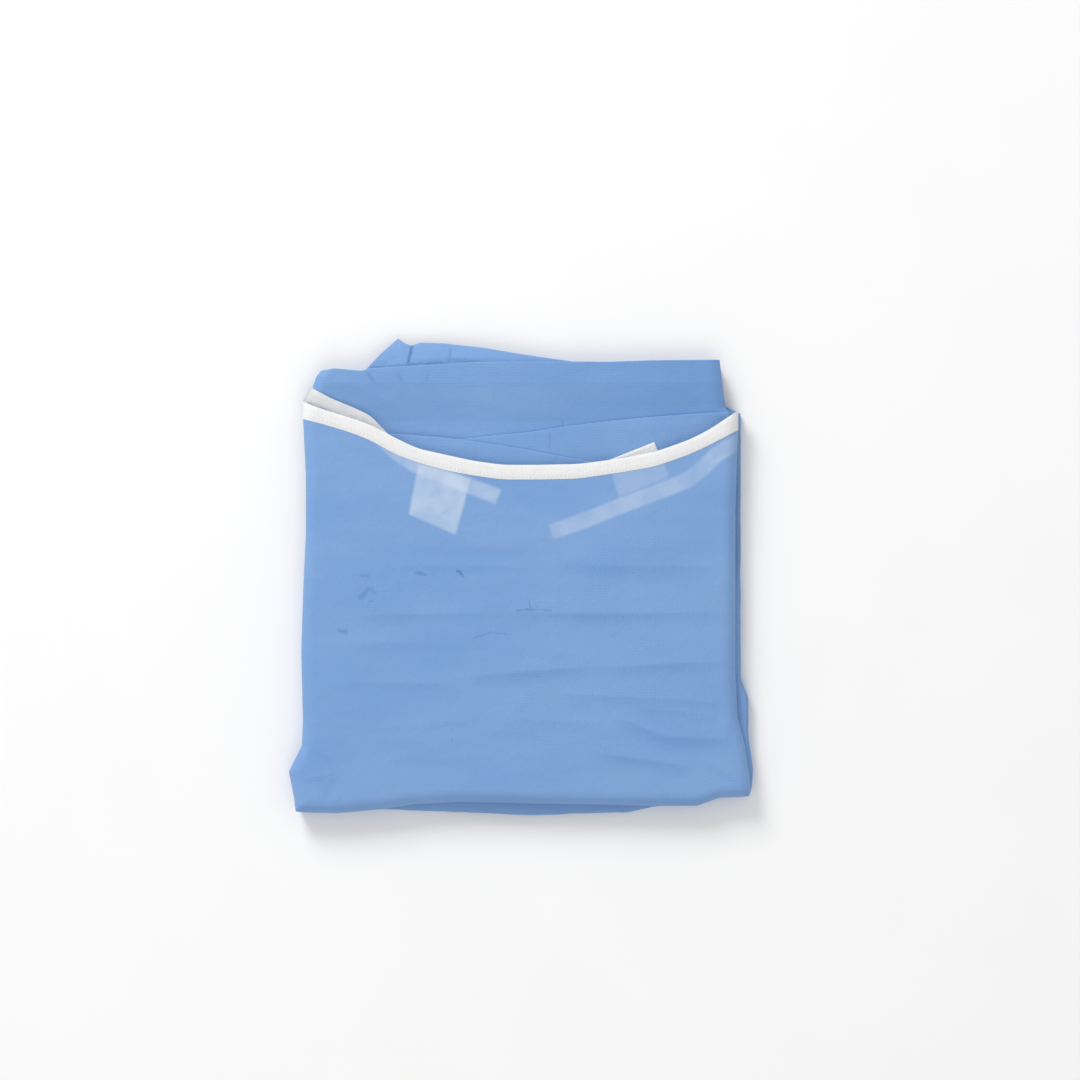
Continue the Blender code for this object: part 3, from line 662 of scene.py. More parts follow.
def bindingMaterial(name, ground, valley, puckerShade):
    finish = bindingFinish
    material, tree, shader, place = newMaterial(name, finish)
    uv = addNode(tree, "ShaderNodeUVMap", uv_map="strip").outputs[0]
    split = addNode(tree, "ShaderNodeSeparateXYZ", {"Vector": uv})
    ribs, courses = (
        mathNode(tree, "SINE", mathNode(tree, "MULTIPLY", split.outputs[k], 2 * math.pi / period))
        for k, period in enumerate(finish["periods"]))
    knit = mathNode(tree, "MULTIPLY_ADD", courses, finish["courseShare"], ribs)
    fuzz = noise(tree, place, *finish["fuzz"])
    # painted shade in the puckers
    puckers = ramp(tree, noise(tree, place, *finish["puckers"]), *finish["puckerLimits"], puckerShade)
    colour = palette[ground]
    for share, shade in ((ramp(tree, knit, *finish["valleyLimits"]), finish["valleyShade"]),
                         (ramp(tree, fuzz, *finish["fuzzLimits"]), finish["fuzzShade"]),
                         (puckers, 1.0)):
        colour = mixColours(tree, mathNode(tree, "MULTIPLY", share, shade), colour, palette[valley])
    height = mathNode(tree, "MULTIPLY_ADD", fuzz, finish["fuzzHeight"], knit)
    height = mathNode(tree, "MULTIPLY_ADD", puckers, finish["puckerHeight"], height)
    dress(tree, shader, colour, height, finish)
    return material


tapeFinish = {
    "roughness": 0.90, "specular": 0.18, "sheen": 0.30,
    "loopScale": 1.5, "loopRandomness": 0.9, "loopLimits": (0.2, 0.7), "fuzz": (3.0, 5.0),
    "bumpDepth": 0.00025, "bumpStrength": 0.8,
}


def tapeMaterial(name):
    finish = tapeFinish
    material, tree, shader, place = newMaterial(name, finish)
    loops = addNode(tree, "ShaderNodeTexVoronoi", {"Vector": place, "Scale": finish["loopScale"],
                                                   "Randomness": finish["loopRandomness"]})
    loops = loops.outputs["Distance"]
    fuzz = noise(tree, place, *finish["fuzz"])
    colour = mixColours(tree, ramp(tree, loops, *finish["loopLimits"]), palette["tapeWhite"],
                        palette["white"])
    dress(tree, shader, colour, mathNode(tree, "SUBTRACT", fuzz, loops), finish)
    return material


threadFinish = {
    "roughness": 0.6, "specular": 0.35, "sheen": 0.1,
    "twist": (5.0, 3.0), "twistLimits": (0.3, 0.7),
    "bumpDepth": 0.00005, "bumpStrength": 0.6,
}


def threadMaterial(name):
    finish = threadFinish
    material, tree, shader, place = newMaterial(name, finish)
    twist = noise(tree, place, *finish["twist"])
    colour = mixColours(tree, ramp(tree, twist, *finish["twistLimits"]), palette["white"],
                        palette["shadedWhite"])
    dress(tree, shader, colour, twist, finish)
    return material


chestCloth = clothMaterial("chestCloth", crumples["chest"], True)
innerCloth = clothMaterial("innerCloth", crumples["inner"], False)
knitBinding = bindingMaterial("knitBinding", "white", "shadedWhite", 0.22)
# a copy of the front binding painted greyer, as painted shade, for the back bindings
innerBinding = bindingMaterial("innerBinding", "innerWhite", "innerShaded", 0.60)
napTape = tapeMaterial("napTape")
whiteThread = threadMaterial("whiteThread")
print("materials made")


# Back neck bindings and tapes: their lines come first, because they show through the front

backNeck = {
    "width": 9.5, "cut": 10.0,
    "steps": 220, "outlineSteps": 60, "rows": 14, "soften": 5.0,
    # heights over and under the strip's middle, in half plies
    "crown": 1.4, "edgeHeight": 0.4, "underRise": 0.3,
    "stitchShare": 0.8,
    "backRows": 40,
    "underBinding": 2.0,  # how far the cloth goes in under its binding
    "backDrop": 0.15, "backHalf": 0.25, "firstStep": 20,
    # lines and ends: columns across, up; lines go from the side fold to the end
    "left": {
        "line": ((-131.2, 111.4), (-118, 104.3), (-104.5, 98.8), (-95, 94.3), (-86.5, 85.5),
                 (-76.5, 76), (-65.5, 68.5), (-49.5, 62), (-30, 54.5), (-14, 48.5)),
        "end": ((-122, 12), (-14.5, 12)),
        "hiddenSide": 1, "endDrop": 1.1,  # its end comes down on the skirt
        "flat": (0.110, 0.090), "area": 0.0064, "restsOn": ["leftSleeve"],
    },
    "right": {
        "line": ((126.5, 79.2), (118.4, 74.2), (111.7, 67.2), (103.6, 60.2), (96.5, 56.8),
                 (84.5, 52.2), (65, 44.8), (40.5, 35), (18, 27)),
        "end": ((122, 12), (20.5, 12)),
        "hiddenSide": 0, "endDrop": 0.0,
        "flat": (0.104, 0.058), "area": 0.0033, "restsOn": ["rightSleeve"],
    },
    "dropFrom": 106.0, "dropReach": 22.0,
    "rightShown": (134.5, 83.5),  # the right band shows through on over the side fold
    "rightShownTo": 131.0, "rightFade": 0.35,
    # columns: across, up, reach, how much more shows there
    "contact": ((-24, 52, 10, 0.6), (24, 29, 12, -0.08), (70, 47, 12, 0.1), (105, 62.5, 7, -0.45)),
}

tapes = {
    # four corners in turn
    "hook": ((-62.5, 69), (-68.5, 38), (-40, 25.5), (-31, 59.5)),
    "loop": ((52, 70.5), (81, 82), (90, 60.5), (59.5, 48.5)),
    "steps": 40, "thickness": 1.0,
    "edgeThickness": 0.45,  # share of the thickness that its edge has
    "edgeRound": 0.8, "lift": 0.05, "stitchInset": 2.86, "stitchSteps": 12,
}


def stripSides(line, steps, halfWidth):
    middle = alongLine(line, steps, backNeck["soften"])
    along = np.gradient(middle, axis=0)
    along /= np.hypot(along[:, 0], along[:, 1])[:, None]
    aside = np.column_stack((-along[:, 1], along[:, 0])) * halfWidth
    return middle + aside, middle - aside


def stripOutline(line):
    one, other = stripSides(line, backNeck["outlineSteps"], backNeck["width"] / 2)
    return np.concatenate((one, other[::-1]))


def throughFields(across, up):
    lines = backNeck["left"]["line"], (backNeck["rightShown"], *backNeck["right"]["line"])
    bindings = [insideDistance(across, up, stripOutline(line)) for line in lines]
    bindings[1] = np.minimum(bindings[1], backNeck["rightFade"] * (backNeck["rightShownTo"] - across))
    shapes = {key + "Below": insideDistance(across, up, tapes[key]) for key in ("hook", "loop")}
    contact = 1.0
    for x, y, reach, more in backNeck["contact"]:
        contact = contact + more * np.exp(-np.hypot(across - x, up - y) ** 2 / reach ** 2)
    return {"bindingBelow": np.maximum(*bindings), "contact": contact, **shapes}


# Front: the chest, rolled over both side folds and the bottom fold

front = {
    "columns": 128, "rows": 280, "rings": 12,
    "rollAcross": 8.0, "rollDrop": 7.0, "rollTurn": 118.0,
    "cloth": 0.45,
    "underBinding": 2.6,
    "neckSoften": 9.0,
    "flat": (0.282, 0.250), "area": 0.0620, "restsOn": ["foldedPlies"],
    "foldSharpness": 1.2,
    "foldShade": (0.10, 1.9),  # crisp above the crest, fading below it
    "foldSeed": 11, "creaseSeed": 13,
    # columns: from across, from up, to across, to up, width above, width below, height, painted shade
    "folds": (
        (-19, -22.6, 125, -22.6, 11, 3.6, 0.9, 0.46),
        (-34.5, -61.6, 50, -55, 10, 3.8, 0.8, 0.46),
        (44, -55.4, 126, -52.4, 9, 4, 0.85, 0.42),
        (-99, -23.6, -17, -22.4, 7, 3.2, 0.55, 0.36),
        (56, -85, 92, -99.6, 5, 3.2, 0.4, 0.38),
        (74, -96.8, 127, -99.8, 7, 4.2, 0.75, 0.54),
        (66, -79, 120, -85.5, 5, 3, 0.4, 0.26),
        (40, -106, 104, -117.6, 8, 3.2, 0.6, 0.4),
        (20, 6.6, 126, 5.4, 9, 4, 0.6, 0.3),
        (23, -72, 126, -77.2, 7, 3.6, 0.55, 0.36),
        (-111, -65.8, -34, -65.4, 6, 3, 0.4, 0.24),
    ),
    "creases": (
        (-70, 15.6, 26, 15.4, 4.2, 4.4, -0.3, 0.34),
        (20, 16.4, 126, 15, 3, 3.4, -0.25, 0.16),
        (-83, 6.4, 24, 6.2, 3, 3.4, 0.36, 0.16),
        (-111, -41, -36, -41.4, 3, 3.4, 0.3, 0.14),
        (-124.5, 84, -125.5, -100, 2.4, 2.4, -0.25, 0.1),
        (-10, -86, 48, -90, 2.4, 3.6, 0.3, 0.12),
        (-96, -92, -20, -88, 2.6, 3.4, 0.3, 0.12),
        (-70, -112, 10, -116, 4, 4, -0.32, 0.1),
        (-30, 40, 8, 36, 3, 4, 0.22, 0.08),
        (60, 28, 118, 34, 4, 4, -0.24, 0.06),
        (-131, -99, -112, -118, 3, 2.4, 0.4, 0.16),
        (-112, -120, -121.5, -138.5, 2.6, 2.6, -0.45, 0.26),
        (-134, -124, -116, -121, 2, 2.4, 0.35, 0.16),
        (112, -113, 137, -128, 3, 3, 0.4, 0.16),
        (126, -90, 133, -126, 2.4, 2.4, -0.35, 0.14),
    ),
}


def frontCreases(across, up):
    folds = creaseField(front["folds"], across, up, front["foldSeed"], front["foldSharpness"],
                        front["foldShade"])
    creases = creaseField(front["creases"], across, up, front["creaseSeed"])
    return folds[0] + creases[0], folds[1] + creases[1]


def neckEdge(column, extra=0.0):
    return edgeOf("neck", column, extra, front["neckSoften"])


def rollFront(columns, rows, rings, inwards, rollShare, edges, lowInset, reliefOf):
    # a face that rolls over the side folds, so far inwards from the front's upper face
    turns = np.radians(front["rollTurn"]) * np.arange(rings + 1) / rings
    reaches = (front["rollAcross"] - inwards * rollShare) * np.sin(turns)
    drops = (front["rollDrop"] - inwards * rollShare) * (1 - np.cos(turns))

    def height(ring, baseAcross, baseUp, across, up):
        relief = (reliefOf(across, up) + settle(across, up)) * np.cos(turns)[ring].clip(0, 1)
        return stack["top"] - inwards - drops[ring] + relief

    insets = (front["rollAcross"], lowInset, 0.0)
    return rolledGrid(columns, rows, "frontRight", *edges, insets, ringTable(reaches), height)


def buildFront():
    rings = front["rings"]
    columns, rows = rolledSteps(front, rings, rings, 0)
    edges = edgeOf("frontBottom"), neckEdge(1, front["underBinding"])
    under, over = (rollFront(columns, rows, rings, inwards, 1.0, edges, front["rollAcross"],
                             lambda across, up: frontCreases(across, up)[0])
                   for inwards in (front["cloth"], 0.0))
    across, up = over[:, :, 0], over[:, :, 1]
    fields = {**throughFields(across, up), "crease": frontCreases(across, up)[1]}
    piece = makeWall("frontCloth", under, over, chestCloth, "cloth", fields)
    laySheet(piece, "front", front)


# Binding round the front neckline

frontBinding = {
    "columns": 400, "rows": 16, "rings": 12,
    "crown": 0.42, "edgeDrop": 0.12, "edgeRise": 0.35,
    "proud": 0.30,  # how far the strip stands off the cloth
    "under": 0.95,
    "rollShare": 0.8,
    "stitchAt": 0.20,
    "flat": (0.292, 0.010), "area": 0.00277, "restsOn": ["frontCloth"],
}


def crownProfile(share):
    # height of a bound edge over its width, rounded at both sides
    return 1 - np.abs(2 * share - 1) ** 4


def stitchDip(share, along, dip=0.16, ripple=0.06, width=0.06):
    # the row of stitches draws the strip in
    row = np.exp(-((share - frontBinding["stitchAt"]) / width) ** 2)
    return row * (dip + ripple * np.cos(2 * math.pi * along / stitches["spacing"]))


def lengthAlong(points):
    steps = np.linalg.norm(np.diff(points, axis=1), axis=-1)
    return np.concatenate((np.zeros((len(points), 1)), np.cumsum(steps, axis=1)), axis=1)


def buildFrontBinding():
    settings = frontBinding
    rings = settings["rings"]
    columns, rows = rolledSteps(settings, rings, 0, 0)
    share = np.array([row[0] for row in rows])[:, None]
    under, over = (rollFront(columns, rows, rings, inwards, settings["rollShare"],
                             (neckEdge(1), neckEdge(2)), 0.0, lambda across, up: 0.0)
                   for inwards in (settings["under"], -settings["proud"]))
    along, crown = lengthAlong(over), crownProfile(share)
    lift = settings["crown"] * crown - stitchDip(share, along)
    over[:, :, 2] += lift - settings["edgeDrop"] * (1 - crown)
    under[:, :, 2] += settings["edgeRise"] * (1 - crown)
    piece = makeWall("frontBinding", under, over, knitBinding, "binding")
    addStripMap(piece, along, share)
    laySheet(piece, "neck_binding_front", settings)
    row = int(round(settings["stitchAt"] * settings["rows"]))
    return over[row, 1:-1]


# Loose layers: each is two plies, rounded where it is folded

foldTurns = np.radians([0, 20, 40, 60, 78])
innerSeed = 23


def doubledLayer(name, node, heightOf, settings):
    half = stack["ply"] / 2
    low = alongLine(settings["hiddenEnd"], settings["columns"])
    high = alongLine(settings["edge"], settings["columns"], settings["soften"])
    span = np.hypot(*(high - low).T)[None]
    flat = np.linspace(0, 1, settings["rows"] + 1)[:, None] * (1 - half / span)
    turns = foldTurns[1:, None]
    share = np.concatenate((flat, 1 - half / span + half / span * np.sin(turns)))
    thick = np.concatenate((np.full((settings["rows"] + 1, 1), half), half * np.cos(turns)))
    across, up = ruled(low, high, share)
    creases, shade = creaseField(settings["creases"], across, up, innerSeed)
    middle = heightOf(across, up)
    # painted shade: the creases' shade plus the layer's own painted shade
    piece = makeWall(name, surface(across, up, middle - thick),
                     surface(across, up, middle + thick + creases), innerCloth, "cloth",
                     {"crease": shade + settings["tone"]})
    laySheet(piece, node, settings)


skirtFold = {
    "columns": 300, "rows": 50,
    # painted shade over the skirt, deeper towards the right
    "tone": ((-30, 0), (60, 0.42), (122, 0.52)),  # deeper towards the right
    "flat": (0.262, 0.060), "area": 0.0123, "restsOn": ["foldedPlies"],
    "hiddenEnd": ((-132, 110), (-124, 107), (-117, 102), (-103, 97), (-92, 90),
                  (-83, 84), (-62, 78), (-36, 74), (11, 73), (48, 77),
                  (82, 84), (114, 92), (124, 95), (130, 99)),
    "creases": (
        (-60, 122, -40, 96, 3, 4, 0.3, 0.06),
        (-112, 122, -70, 100, 3.5, 4.5, 0.3, 0.06),
        (10, 126, 40, 98, 4, 4, -0.28, 0.05),
        (70, 127, 108, 108, 3.5, 4.5, 0.28, 0.06),
    ),
}


def skirtCreases(across, up):
    return creaseField(skirtFold["creases"], across, up, innerSeed)


def buildSkirtFold():
    settings = skirtFold
    half = stack["ply"] / 2
    rings = len(foldTurns) - 1
    columns, rows = rolledSteps(settings, rings, 0, rings)
    heightOf = looseLayer(1)
    faces = []
    for way in (-1, 1):
        def height(ring, baseAcross, baseUp, across, up):
            creases = skirtCreases(across, up)[0] if way > 0 else 0.0
            return heightOf(across, up) + way * half * np.cos(foldTurns)[ring] + creases

        faces.append(rolledGrid(columns, rows, "skirtRight",
                                lambda across: lookUp(settings["hiddenEnd"], across), edgeOf("top"),
                                (half, 0.0, half), ringTable(half * np.sin(foldTurns)), height))
    across, up = faces[1][:, :, 0], faces[1][:, :, 1]
    shade = skirtCreases(across, up)[1] + lookUp(settings["tone"], across)
    piece = makeWall("skirtFold", *faces, innerCloth, "cloth", {"crease": shade})
    laySheet(piece, "skirt_fold", settings)


skirtCorner = {
    # painted shade over the whole corner layer
    "columns": 330, "rows": 30, "tone": 0.22, "soften": 0.6,
    "sagStart": 5, "sag": 0.013,
    "flat": (0.132, 0.029), "area": 0.00275, "restsOn": ["foldedPlies"],
    "edge": ((-97, 124), (-86.5, 135.5), (-75.5, 145.5), (-70.5, 142), (-67, 141),
             (-62, 143), (-48.5, 142.5), (-25.5, 140), (5, 135), (33, 131)),
    "hiddenEnd": ((-92, 116), (27, 119)),
    "creases": (
        (-66.2, 143, -69, 128, 0.7, 0.9, -0.7, 0.6),
        (-74, 144, -69, 131, 0.9, 1.6, 0.45, 0.2),
        (-43, 139.5, -43.5, 130, 0.8, 1, -0.35, 0.2),
        (-69, 131.5, -36, 131.5, 0.9, 1.3, -0.3, 0.2),
        (-93, 128, -74, 133, 1.4, 1.8, -0.3, 0.15),
        (-60, 133.5, -20, 132.5, 1.4, 2, 0.35, 0.2),
    ),
}


def cornerLayer(across, up):
    # the corner sinks once it is past the folds under it
    reach = np.clip(up - (edgeOf("top")(across) - skirtCorner["sagStart"]), 0, None)
    lift = stack["gap"] + stack["ply"] / 2
    return foldedHeight(up) + lift - skirtCorner["sag"] * reach ** 2 + settle(across, up)


sleeves = {
    # the sleeves take no painted shade of their own
    "columns": 150, "rows": 26, "tone": 0.0, "soften": 7,
    "right": {
        "flat": (0.173, 0.066), "area": 0.009, "restsOn": ["skirtFold"],
        "hiddenEnd": ((-44, 58), (10.5, 34), (48, 28), (82, 36), (110, 52), (127.5, 70)),
        "edge": ((-44, 83), (-36.2, 84), (-15.2, 86.4), (5.5, 88.2), (25.5, 91.6), (46.4, 94.2),
                 (67.8, 96.4), (90.2, 98.3), (112.6, 99.9), (126.5, 100.6)),
        "creases": ((60, 90, 118, 95, 2, 3, 0.28, 0.08),),
    },
    "left": {
        "flat": (0.135, 0.032), "area": 0.0038, "restsOn": ["rightSleeve"],
        "hiddenEnd": ((-84, 66), (-63.5, 58), (-29.5, 50), (10.5, 47), (46, 51)),
        "edge": ((-84, 87.2), (-67.7, 86.4), (-51.9, 85.2), (-36.2, 83.6), (-20, 81.4),
                 (-4.6, 78.9), (15.5, 75.2), (34.5, 71.6), (50, 68.6)),
        "creases": ((-60, 82, -20, 77, 1.6, 2.2, 0.22, 0.1),),
    },
}


# Hidden folds: one rounded form, with the edges of its plies all round

foldedPlies = {
    "columns": 120, "rows": 120, "flatInset": 8, "topInset": 2,
    "flat": (0.3, 0.273),
    # columns: share of height, inset from the outline
    "form": ((1, 8), (0.96, 6), (0.86, 4.2), (0.73, 3), (0.6, 2.8), (0.54, 2.4), (0.48, 0.4),
             (0.08, 0.4), (0, 1.2)),
    # share of the height, from the top ply down
    "thicknesses": (0.13, 0.16, 0.13, 0.095, 0.12, 0.075, 0.095, 0.085, 0.08),
    "ringsPerPly": 6,
    # how far the plies rise and fall along the edge
    "wander": 0.55, "wanderCell": 30.0, "wanderSeed": 47,
    "grooveDepth": 1.5, "grooveShade": 0.5,
    # how far each ply lies back: columns of the waves are cell, seed, share
    "uneven": 1.1,
    "unevenWaves": ((34.0, 60, 1.0), (9.0, 80, 0.4)),
    "unevenMiddle": 0.45, "unevenSwing": 0.75, "unevenMost": 1.5,
    "topCalm": 0.6, "topDrop": 0.3,  # the covered top settles less, and lies lower
    "sharpAngle": 60.0,
    # below this share of the height the folds look out from under the front
    "lookOutFrom": 0.55, "lookOutOver": 0.08,
}


def plyRings(top=0.975, sharpness=1.6, lastGroove=0.6):
    # columns: share of height, groove share, ply
    rings = [(1.0, 0.0, 0)]
    count = foldedPlies["ringsPerPly"]
    for ply, thickness in enumerate(foldedPlies["thicknesses"], 1):
        for t in ((k + 0.5) / count for k in range(count)):
            rings.append((top - t * thickness, (1 - math.sin(math.pi * t)) ** sharpness, ply))
        top -= thickness
    return np.array([*rings, (0.0, lastGroove, ply)])


def buildFoldedPlies():
    settings = foldedPlies
    rings = plyRings()
    form = np.array(settings["form"])[::-1]
    inset = np.interp(rings[:, 0], form[:, 0], form[:, 1])
    inset[0] = settings["flatInset"]
    count = len(rings) - 1

    def reachOf(ring, across, up):
        uneven = np.zeros(np.broadcast(across, up).shape)
        for ply in range(1, len(settings["thicknesses"]) + 1):
            waves = sum(share * softNoise(across, up, cell, seed + ply)
                        for cell, seed, share in settings["unevenWaves"])
            lies = settings["unevenMiddle"] + settings["unevenSwing"] * waves
            uneven = np.where(rings[ring, 2] == ply, np.clip(lies, 0, settings["unevenMost"]), uneven)
        deeper = settings["grooveDepth"] * rings[ring, 1] + settings["uneven"] * uneven
        return np.where(ring > 0, settings["flatInset"] - inset[ring] - deeper, 0.0).clip(0, None)

    def height(ring, baseAcross, baseUp, across, up):
        share = rings[ring, 0]
        wander = settings["wander"] * softNoise(baseAcross, baseUp, settings["wanderCell"],
                                                settings["wanderSeed"]) * np.sin(math.pi * share)
        calm = (ring == 0) * settings["topCalm"]
        settled = settle(baseAcross, baseUp) - settings["topDrop"]
        return foldedHeight(baseUp) * share + wander + calm * settled

    columns, rows = rolledSteps(settings, count, count, count)
    flatInset = settings["flatInset"]
    points = rolledGrid(columns, rows, "foldedRight", edgeOf("frontBottom"), edgeOf("top"),
                        (flatInset, flatInset, flatInset + settings["topInset"]), reachOf, height)
    (shareAcross, ringAcross, _), (shareUp, ringUp, _) = zip(*columns), zip(*rows)
    ringAt = np.maximum(np.array(ringAcross)[None, :], np.array(ringUp)[:, None])
    across, up = points[:, :, 0].copy(), points[:, :, 1].copy()
    leftLimit = sideOf("left", up) + inset[ringAt] + settings["grooveDepth"] * rings[ringAt, 1]
    points[:, :, 0] = np.maximum(across, leftLimit)
    lookOut = np.clip((settings["lookOutFrom"] - rings[ringAt, 0]) / settings["lookOutOver"], 0, 1)
    widening = sideOf("right", up) - sideOf("foldedRight", up)
    lowering = edgeOf("frontBottom")(across) - edgeOf("bottom")(across)
    points[:, :, 0] += lookOut * np.array(shareAcross)[None, :] * widening
    points[:, :, 1] -= lookOut * (1 - np.array(shareUp)[:, None]) * lowering
    sizeUp, sizeAcross = points.shape[:2]
    faces = gridQuads(sizeUp, sizeAcross, 0, False).tolist()
    faces.append(rimOf(sizeUp, sizeAcross)[::-1].tolist())
    piece = makePiece("foldedPlies", points.reshape(-1, 3), faces, innerCloth, "cloth",
                      settings["sharpAngle"])
    # painted shade in the grooves between the plies' edges
    grooves = np.where(np.arange(count + 1) > 0, rings[:, 1] * settings["grooveShade"], 0.0)
    addField(piece, "crease", grooves[ringAt])
    laySheet(piece, "folded_layers", settings)


# Back halves, their bindings and the tapes

def buildBackBinding(side):
    settings, strip = backNeck[side], backNeck
    share = np.linspace(0, 1, strip["rows"] + 1)[:, None]
    across, up = ruled(*stripSides(settings["line"], strip["steps"], strip["width"] / 2), share)
    drop = np.clip((np.abs(across) - strip["dropFrom"]) / strip["dropReach"], 0, 1) ** 2
    middle = levelLayer(stack[side + "Back"])(across, up) - settings["endDrop"] * drop
    half, crown = stack["ply"] / 2, crownProfile(share)
    over = surface(across, up, middle - half * strip["edgeHeight"] + half * strip["crown"] * crown)
    under = surface(across, up, middle - half + half * strip["underRise"] * (1 - crown))
    along = lengthAlong(over)
    over[:, :, 2] -= stitchDip(share, along) * strip["stitchShare"]
    piece = makeWall(side + "Binding", under, over, innerBinding, "binding")
    addStripMap(piece, along, share)
    length = float(along[strip["rows"] // 2, -1]) * mm
    cut = {"flat": (length, strip["cut"] * mm), "area": length * strip["width"] * mm}
    laySheet(piece, "neck_binding_" + side, {**settings, **cut})


def buildBack(side):
    settings, strip = backNeck[side], backNeck
    halfWidth = strip["width"] / 2 - strip["underBinding"]
    seam = stripSides(settings["line"], strip["steps"], halfWidth)[settings["hiddenSide"]]
    seam = seam[strip["firstStep"]:]
    share = np.linspace(0, 1, strip["backRows"] + 1)[:, None]
    across, up = ruled(alongLine(settings["end"], len(seam) - 1), seam, share)
    middle = levelLayer(stack[side + "Back"])(across, up) - strip["backDrop"]
    under, over = (surface(across, up, middle + way * strip["backHalf"]) for way in (-1, 1))
    piece = makeWall(side + "Back", under, over, innerCloth, "cloth", {"crease": across * 0})
    laySheet(piece, "back_" + side, settings)


def buildTape(kind, level, restsOn):
    settings = tapes
    first, second, third, fourth = corners = np.array(settings[kind], float)
    steps = settings["steps"] + 1
    across, up = ruled(np.linspace(second, third, steps), np.linspace(first, fourth, steps),
                       np.linspace(0, 1, steps)[:, None])
    edge = np.clip(insideDistance(across, up, corners) / settings["edgeRound"], 0, 1)
    rounded = settings["edgeThickness"] + (1 - settings["edgeThickness"]) * np.sqrt(1 - (1 - edge) ** 2)

    def underside(across, up):
        return levelLayer(level)(across, up) - stack["ply"] / 2 + settings["lift"]

    low = underside(across, up)
    piece = makeWall(kind + "Tape", surface(across, up, low),
                     surface(across, up, low + settings["thickness"] * rounded), napTape, "tape")
    width, length = (float(np.hypot(*(b - a)) + np.hypot(*(d - c))) / 2 * mm for a, b, c, d in (
        (second, third, first, fourth), (second, first, third, fourth)))
    laySheet(piece, kind + "_tape", {"flat": (width, length), "restsOn": restsOn})
    away = corners - corners.mean(axis=0)
    inset = corners - away * settings["stitchInset"] / np.hypot(*away.T)[:, None]
    path = [np.linspace(a, b, settings["stitchSteps"])[:-1]
            for a, b in zip(inset, np.roll(inset, -1, axis=0))]
    path = np.concatenate((*path, inset[:1]))
    return np.column_stack((path, underside(*path.T) + settings["thickness"]))


# Stitches, laid along a path by Geometry Nodes

stitches = {
    "spacing": 2.6, "length": 1.9, "thread": 0.19,
    "skew": 0.08, "seed": 4,
    "segments": 8, "rings": 5,
}


def stitchTree():
    tree = bpy.data.node_groups.new("stitchRow", "GeometryNodeTree")

    def step(kind, inputs, output=0, **settings):
        return addNode(tree, kind, inputs, **settings).outputs[output]

    for label, kind in (("Path", "Geometry"), ("Spacing", "Float"), ("Stitch Length", "Float"),
                        ("Thread Radius", "Float"), ("Seed", "Int"), ("Thread", "Material")):
        tree.interface.new_socket(label, in_out="INPUT", socket_type="NodeSocket" + kind)
    tree.interface.new_socket("Geometry", in_out="OUTPUT", socket_type="NodeSocketGeometry")
    given = tree.nodes.new("NodeGroupInput").outputs
    curve = step("GeometryNodeMeshToCurve", {"Mesh": given["Path"]})
    curve = step("GeometryNodeResampleCurve", {"Curve": curve, "Length": given["Spacing"]}, mode="LENGTH")
    spots = addNode(tree, "GeometryNodeCurveToPoints", {"Curve": curve}, mode="EVALUATED").outputs
    ball = step("GeometryNodeMeshUVSphere",
                {"Segments": stitches["segments"], "Rings": stitches["rings"], "Radius": 1.0})
    ball = step("GeometryNodeSetShadeSmooth", {"Geometry": ball})
    half = mathNode(tree, "MULTIPLY", given["Stitch Length"], 0.5)
    radius = given["Thread Radius"]
    size = step("ShaderNodeCombineXYZ", {0: half, 1: radius, 2: radius})
    turn = step("FunctionNodeAlignEulerToVector", {"Vector": spots["Tangent"]}, axis="X")
    skew = step("FunctionNodeRandomValue", {2: -stitches["skew"], 3: stitches["skew"],
                                            "Seed": given["Seed"]}, 1, data_type="FLOAT")
    tilt = step("ShaderNodeCombineXYZ", {2: skew})
    turn = step("FunctionNodeRotateEuler", {"Rotation": turn, "Rotate By": tilt}, space="LOCAL")
    placed = step("GeometryNodeInstanceOnPoints", {"Points": spots["Points"], "Instance": ball,
                                                   "Rotation": turn, "Scale": size})
    real = step("GeometryNodeRealizeInstances", {"Geometry": placed})
    finished = step("GeometryNodeSetMaterial", {"Geometry": real, "Material": given["Thread"]})
    tree.links.new(finished, tree.nodes.new("NodeGroupOutput").inputs[0])
    return tree


def stitchRow(name, path, tree):
    mesh = bpy.data.meshes.new(name + "Path")
    mesh.from_pydata(inFrame(path), [(i, i + 1) for i in range(len(path) - 1)], [])
    row = addObject(name, mesh)
    modifier = row.modifiers.new("stitchRow", "NODES")
    modifier.node_group = tree
    values = {"Spacing": stitches["spacing"] * mm, "Stitch Length": stitches["length"] * mm,
              "Thread Radius": stitches["thread"] * mm, "Seed": stitches["seed"], "Thread": whiteThread}
    for item in tree.interface.items_tree:
        if item.name in values:
            modifier[item.identifier] = values[item.name]
    bpy.context.view_layer.update()
    made = bpy.data.meshes.new_from_object(row.evaluated_get(bpy.context.evaluated_depsgraph_get()))
    row.modifiers.remove(modifier)
    row.data = made
    made.name = name
    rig.ride(row, "root")
    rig.slot(row, "binding")


buildFoldedPlies()
buildSkirtFold()
doubledLayer("skirtCorner", "skirt_corner", cornerLayer, skirtCorner)
for side, plies in (("right", 2), ("left", 3)):
    doubledLayer(side + "Sleeve", "sleeve_" + side, looseLayer(plies), {**sleeves, **sleeves[side]})
print("hidden folds, skirt and sleeves laid")
for build in (buildBackBinding, buildBack):
    for side in ("left", "right"):
        build(side)
hookPath = buildTape("hook", stack["hookTape"], ["leftBack"])
loopPath = buildTape("loop", stack["rightBack"], ["rightSleeve"])
print("back halves, bindings and tapes laid")
buildFront()
frontPath = buildFrontBinding()
print("front and its binding laid")
rowTree = stitchTree()
for name, path in (("neck", frontPath), ("hook", hookPath), ("loop", loopPath)):
    stitchRow(name + "Stitches", path, rowTree)
print("stitches laid")


# Floor, light and camera

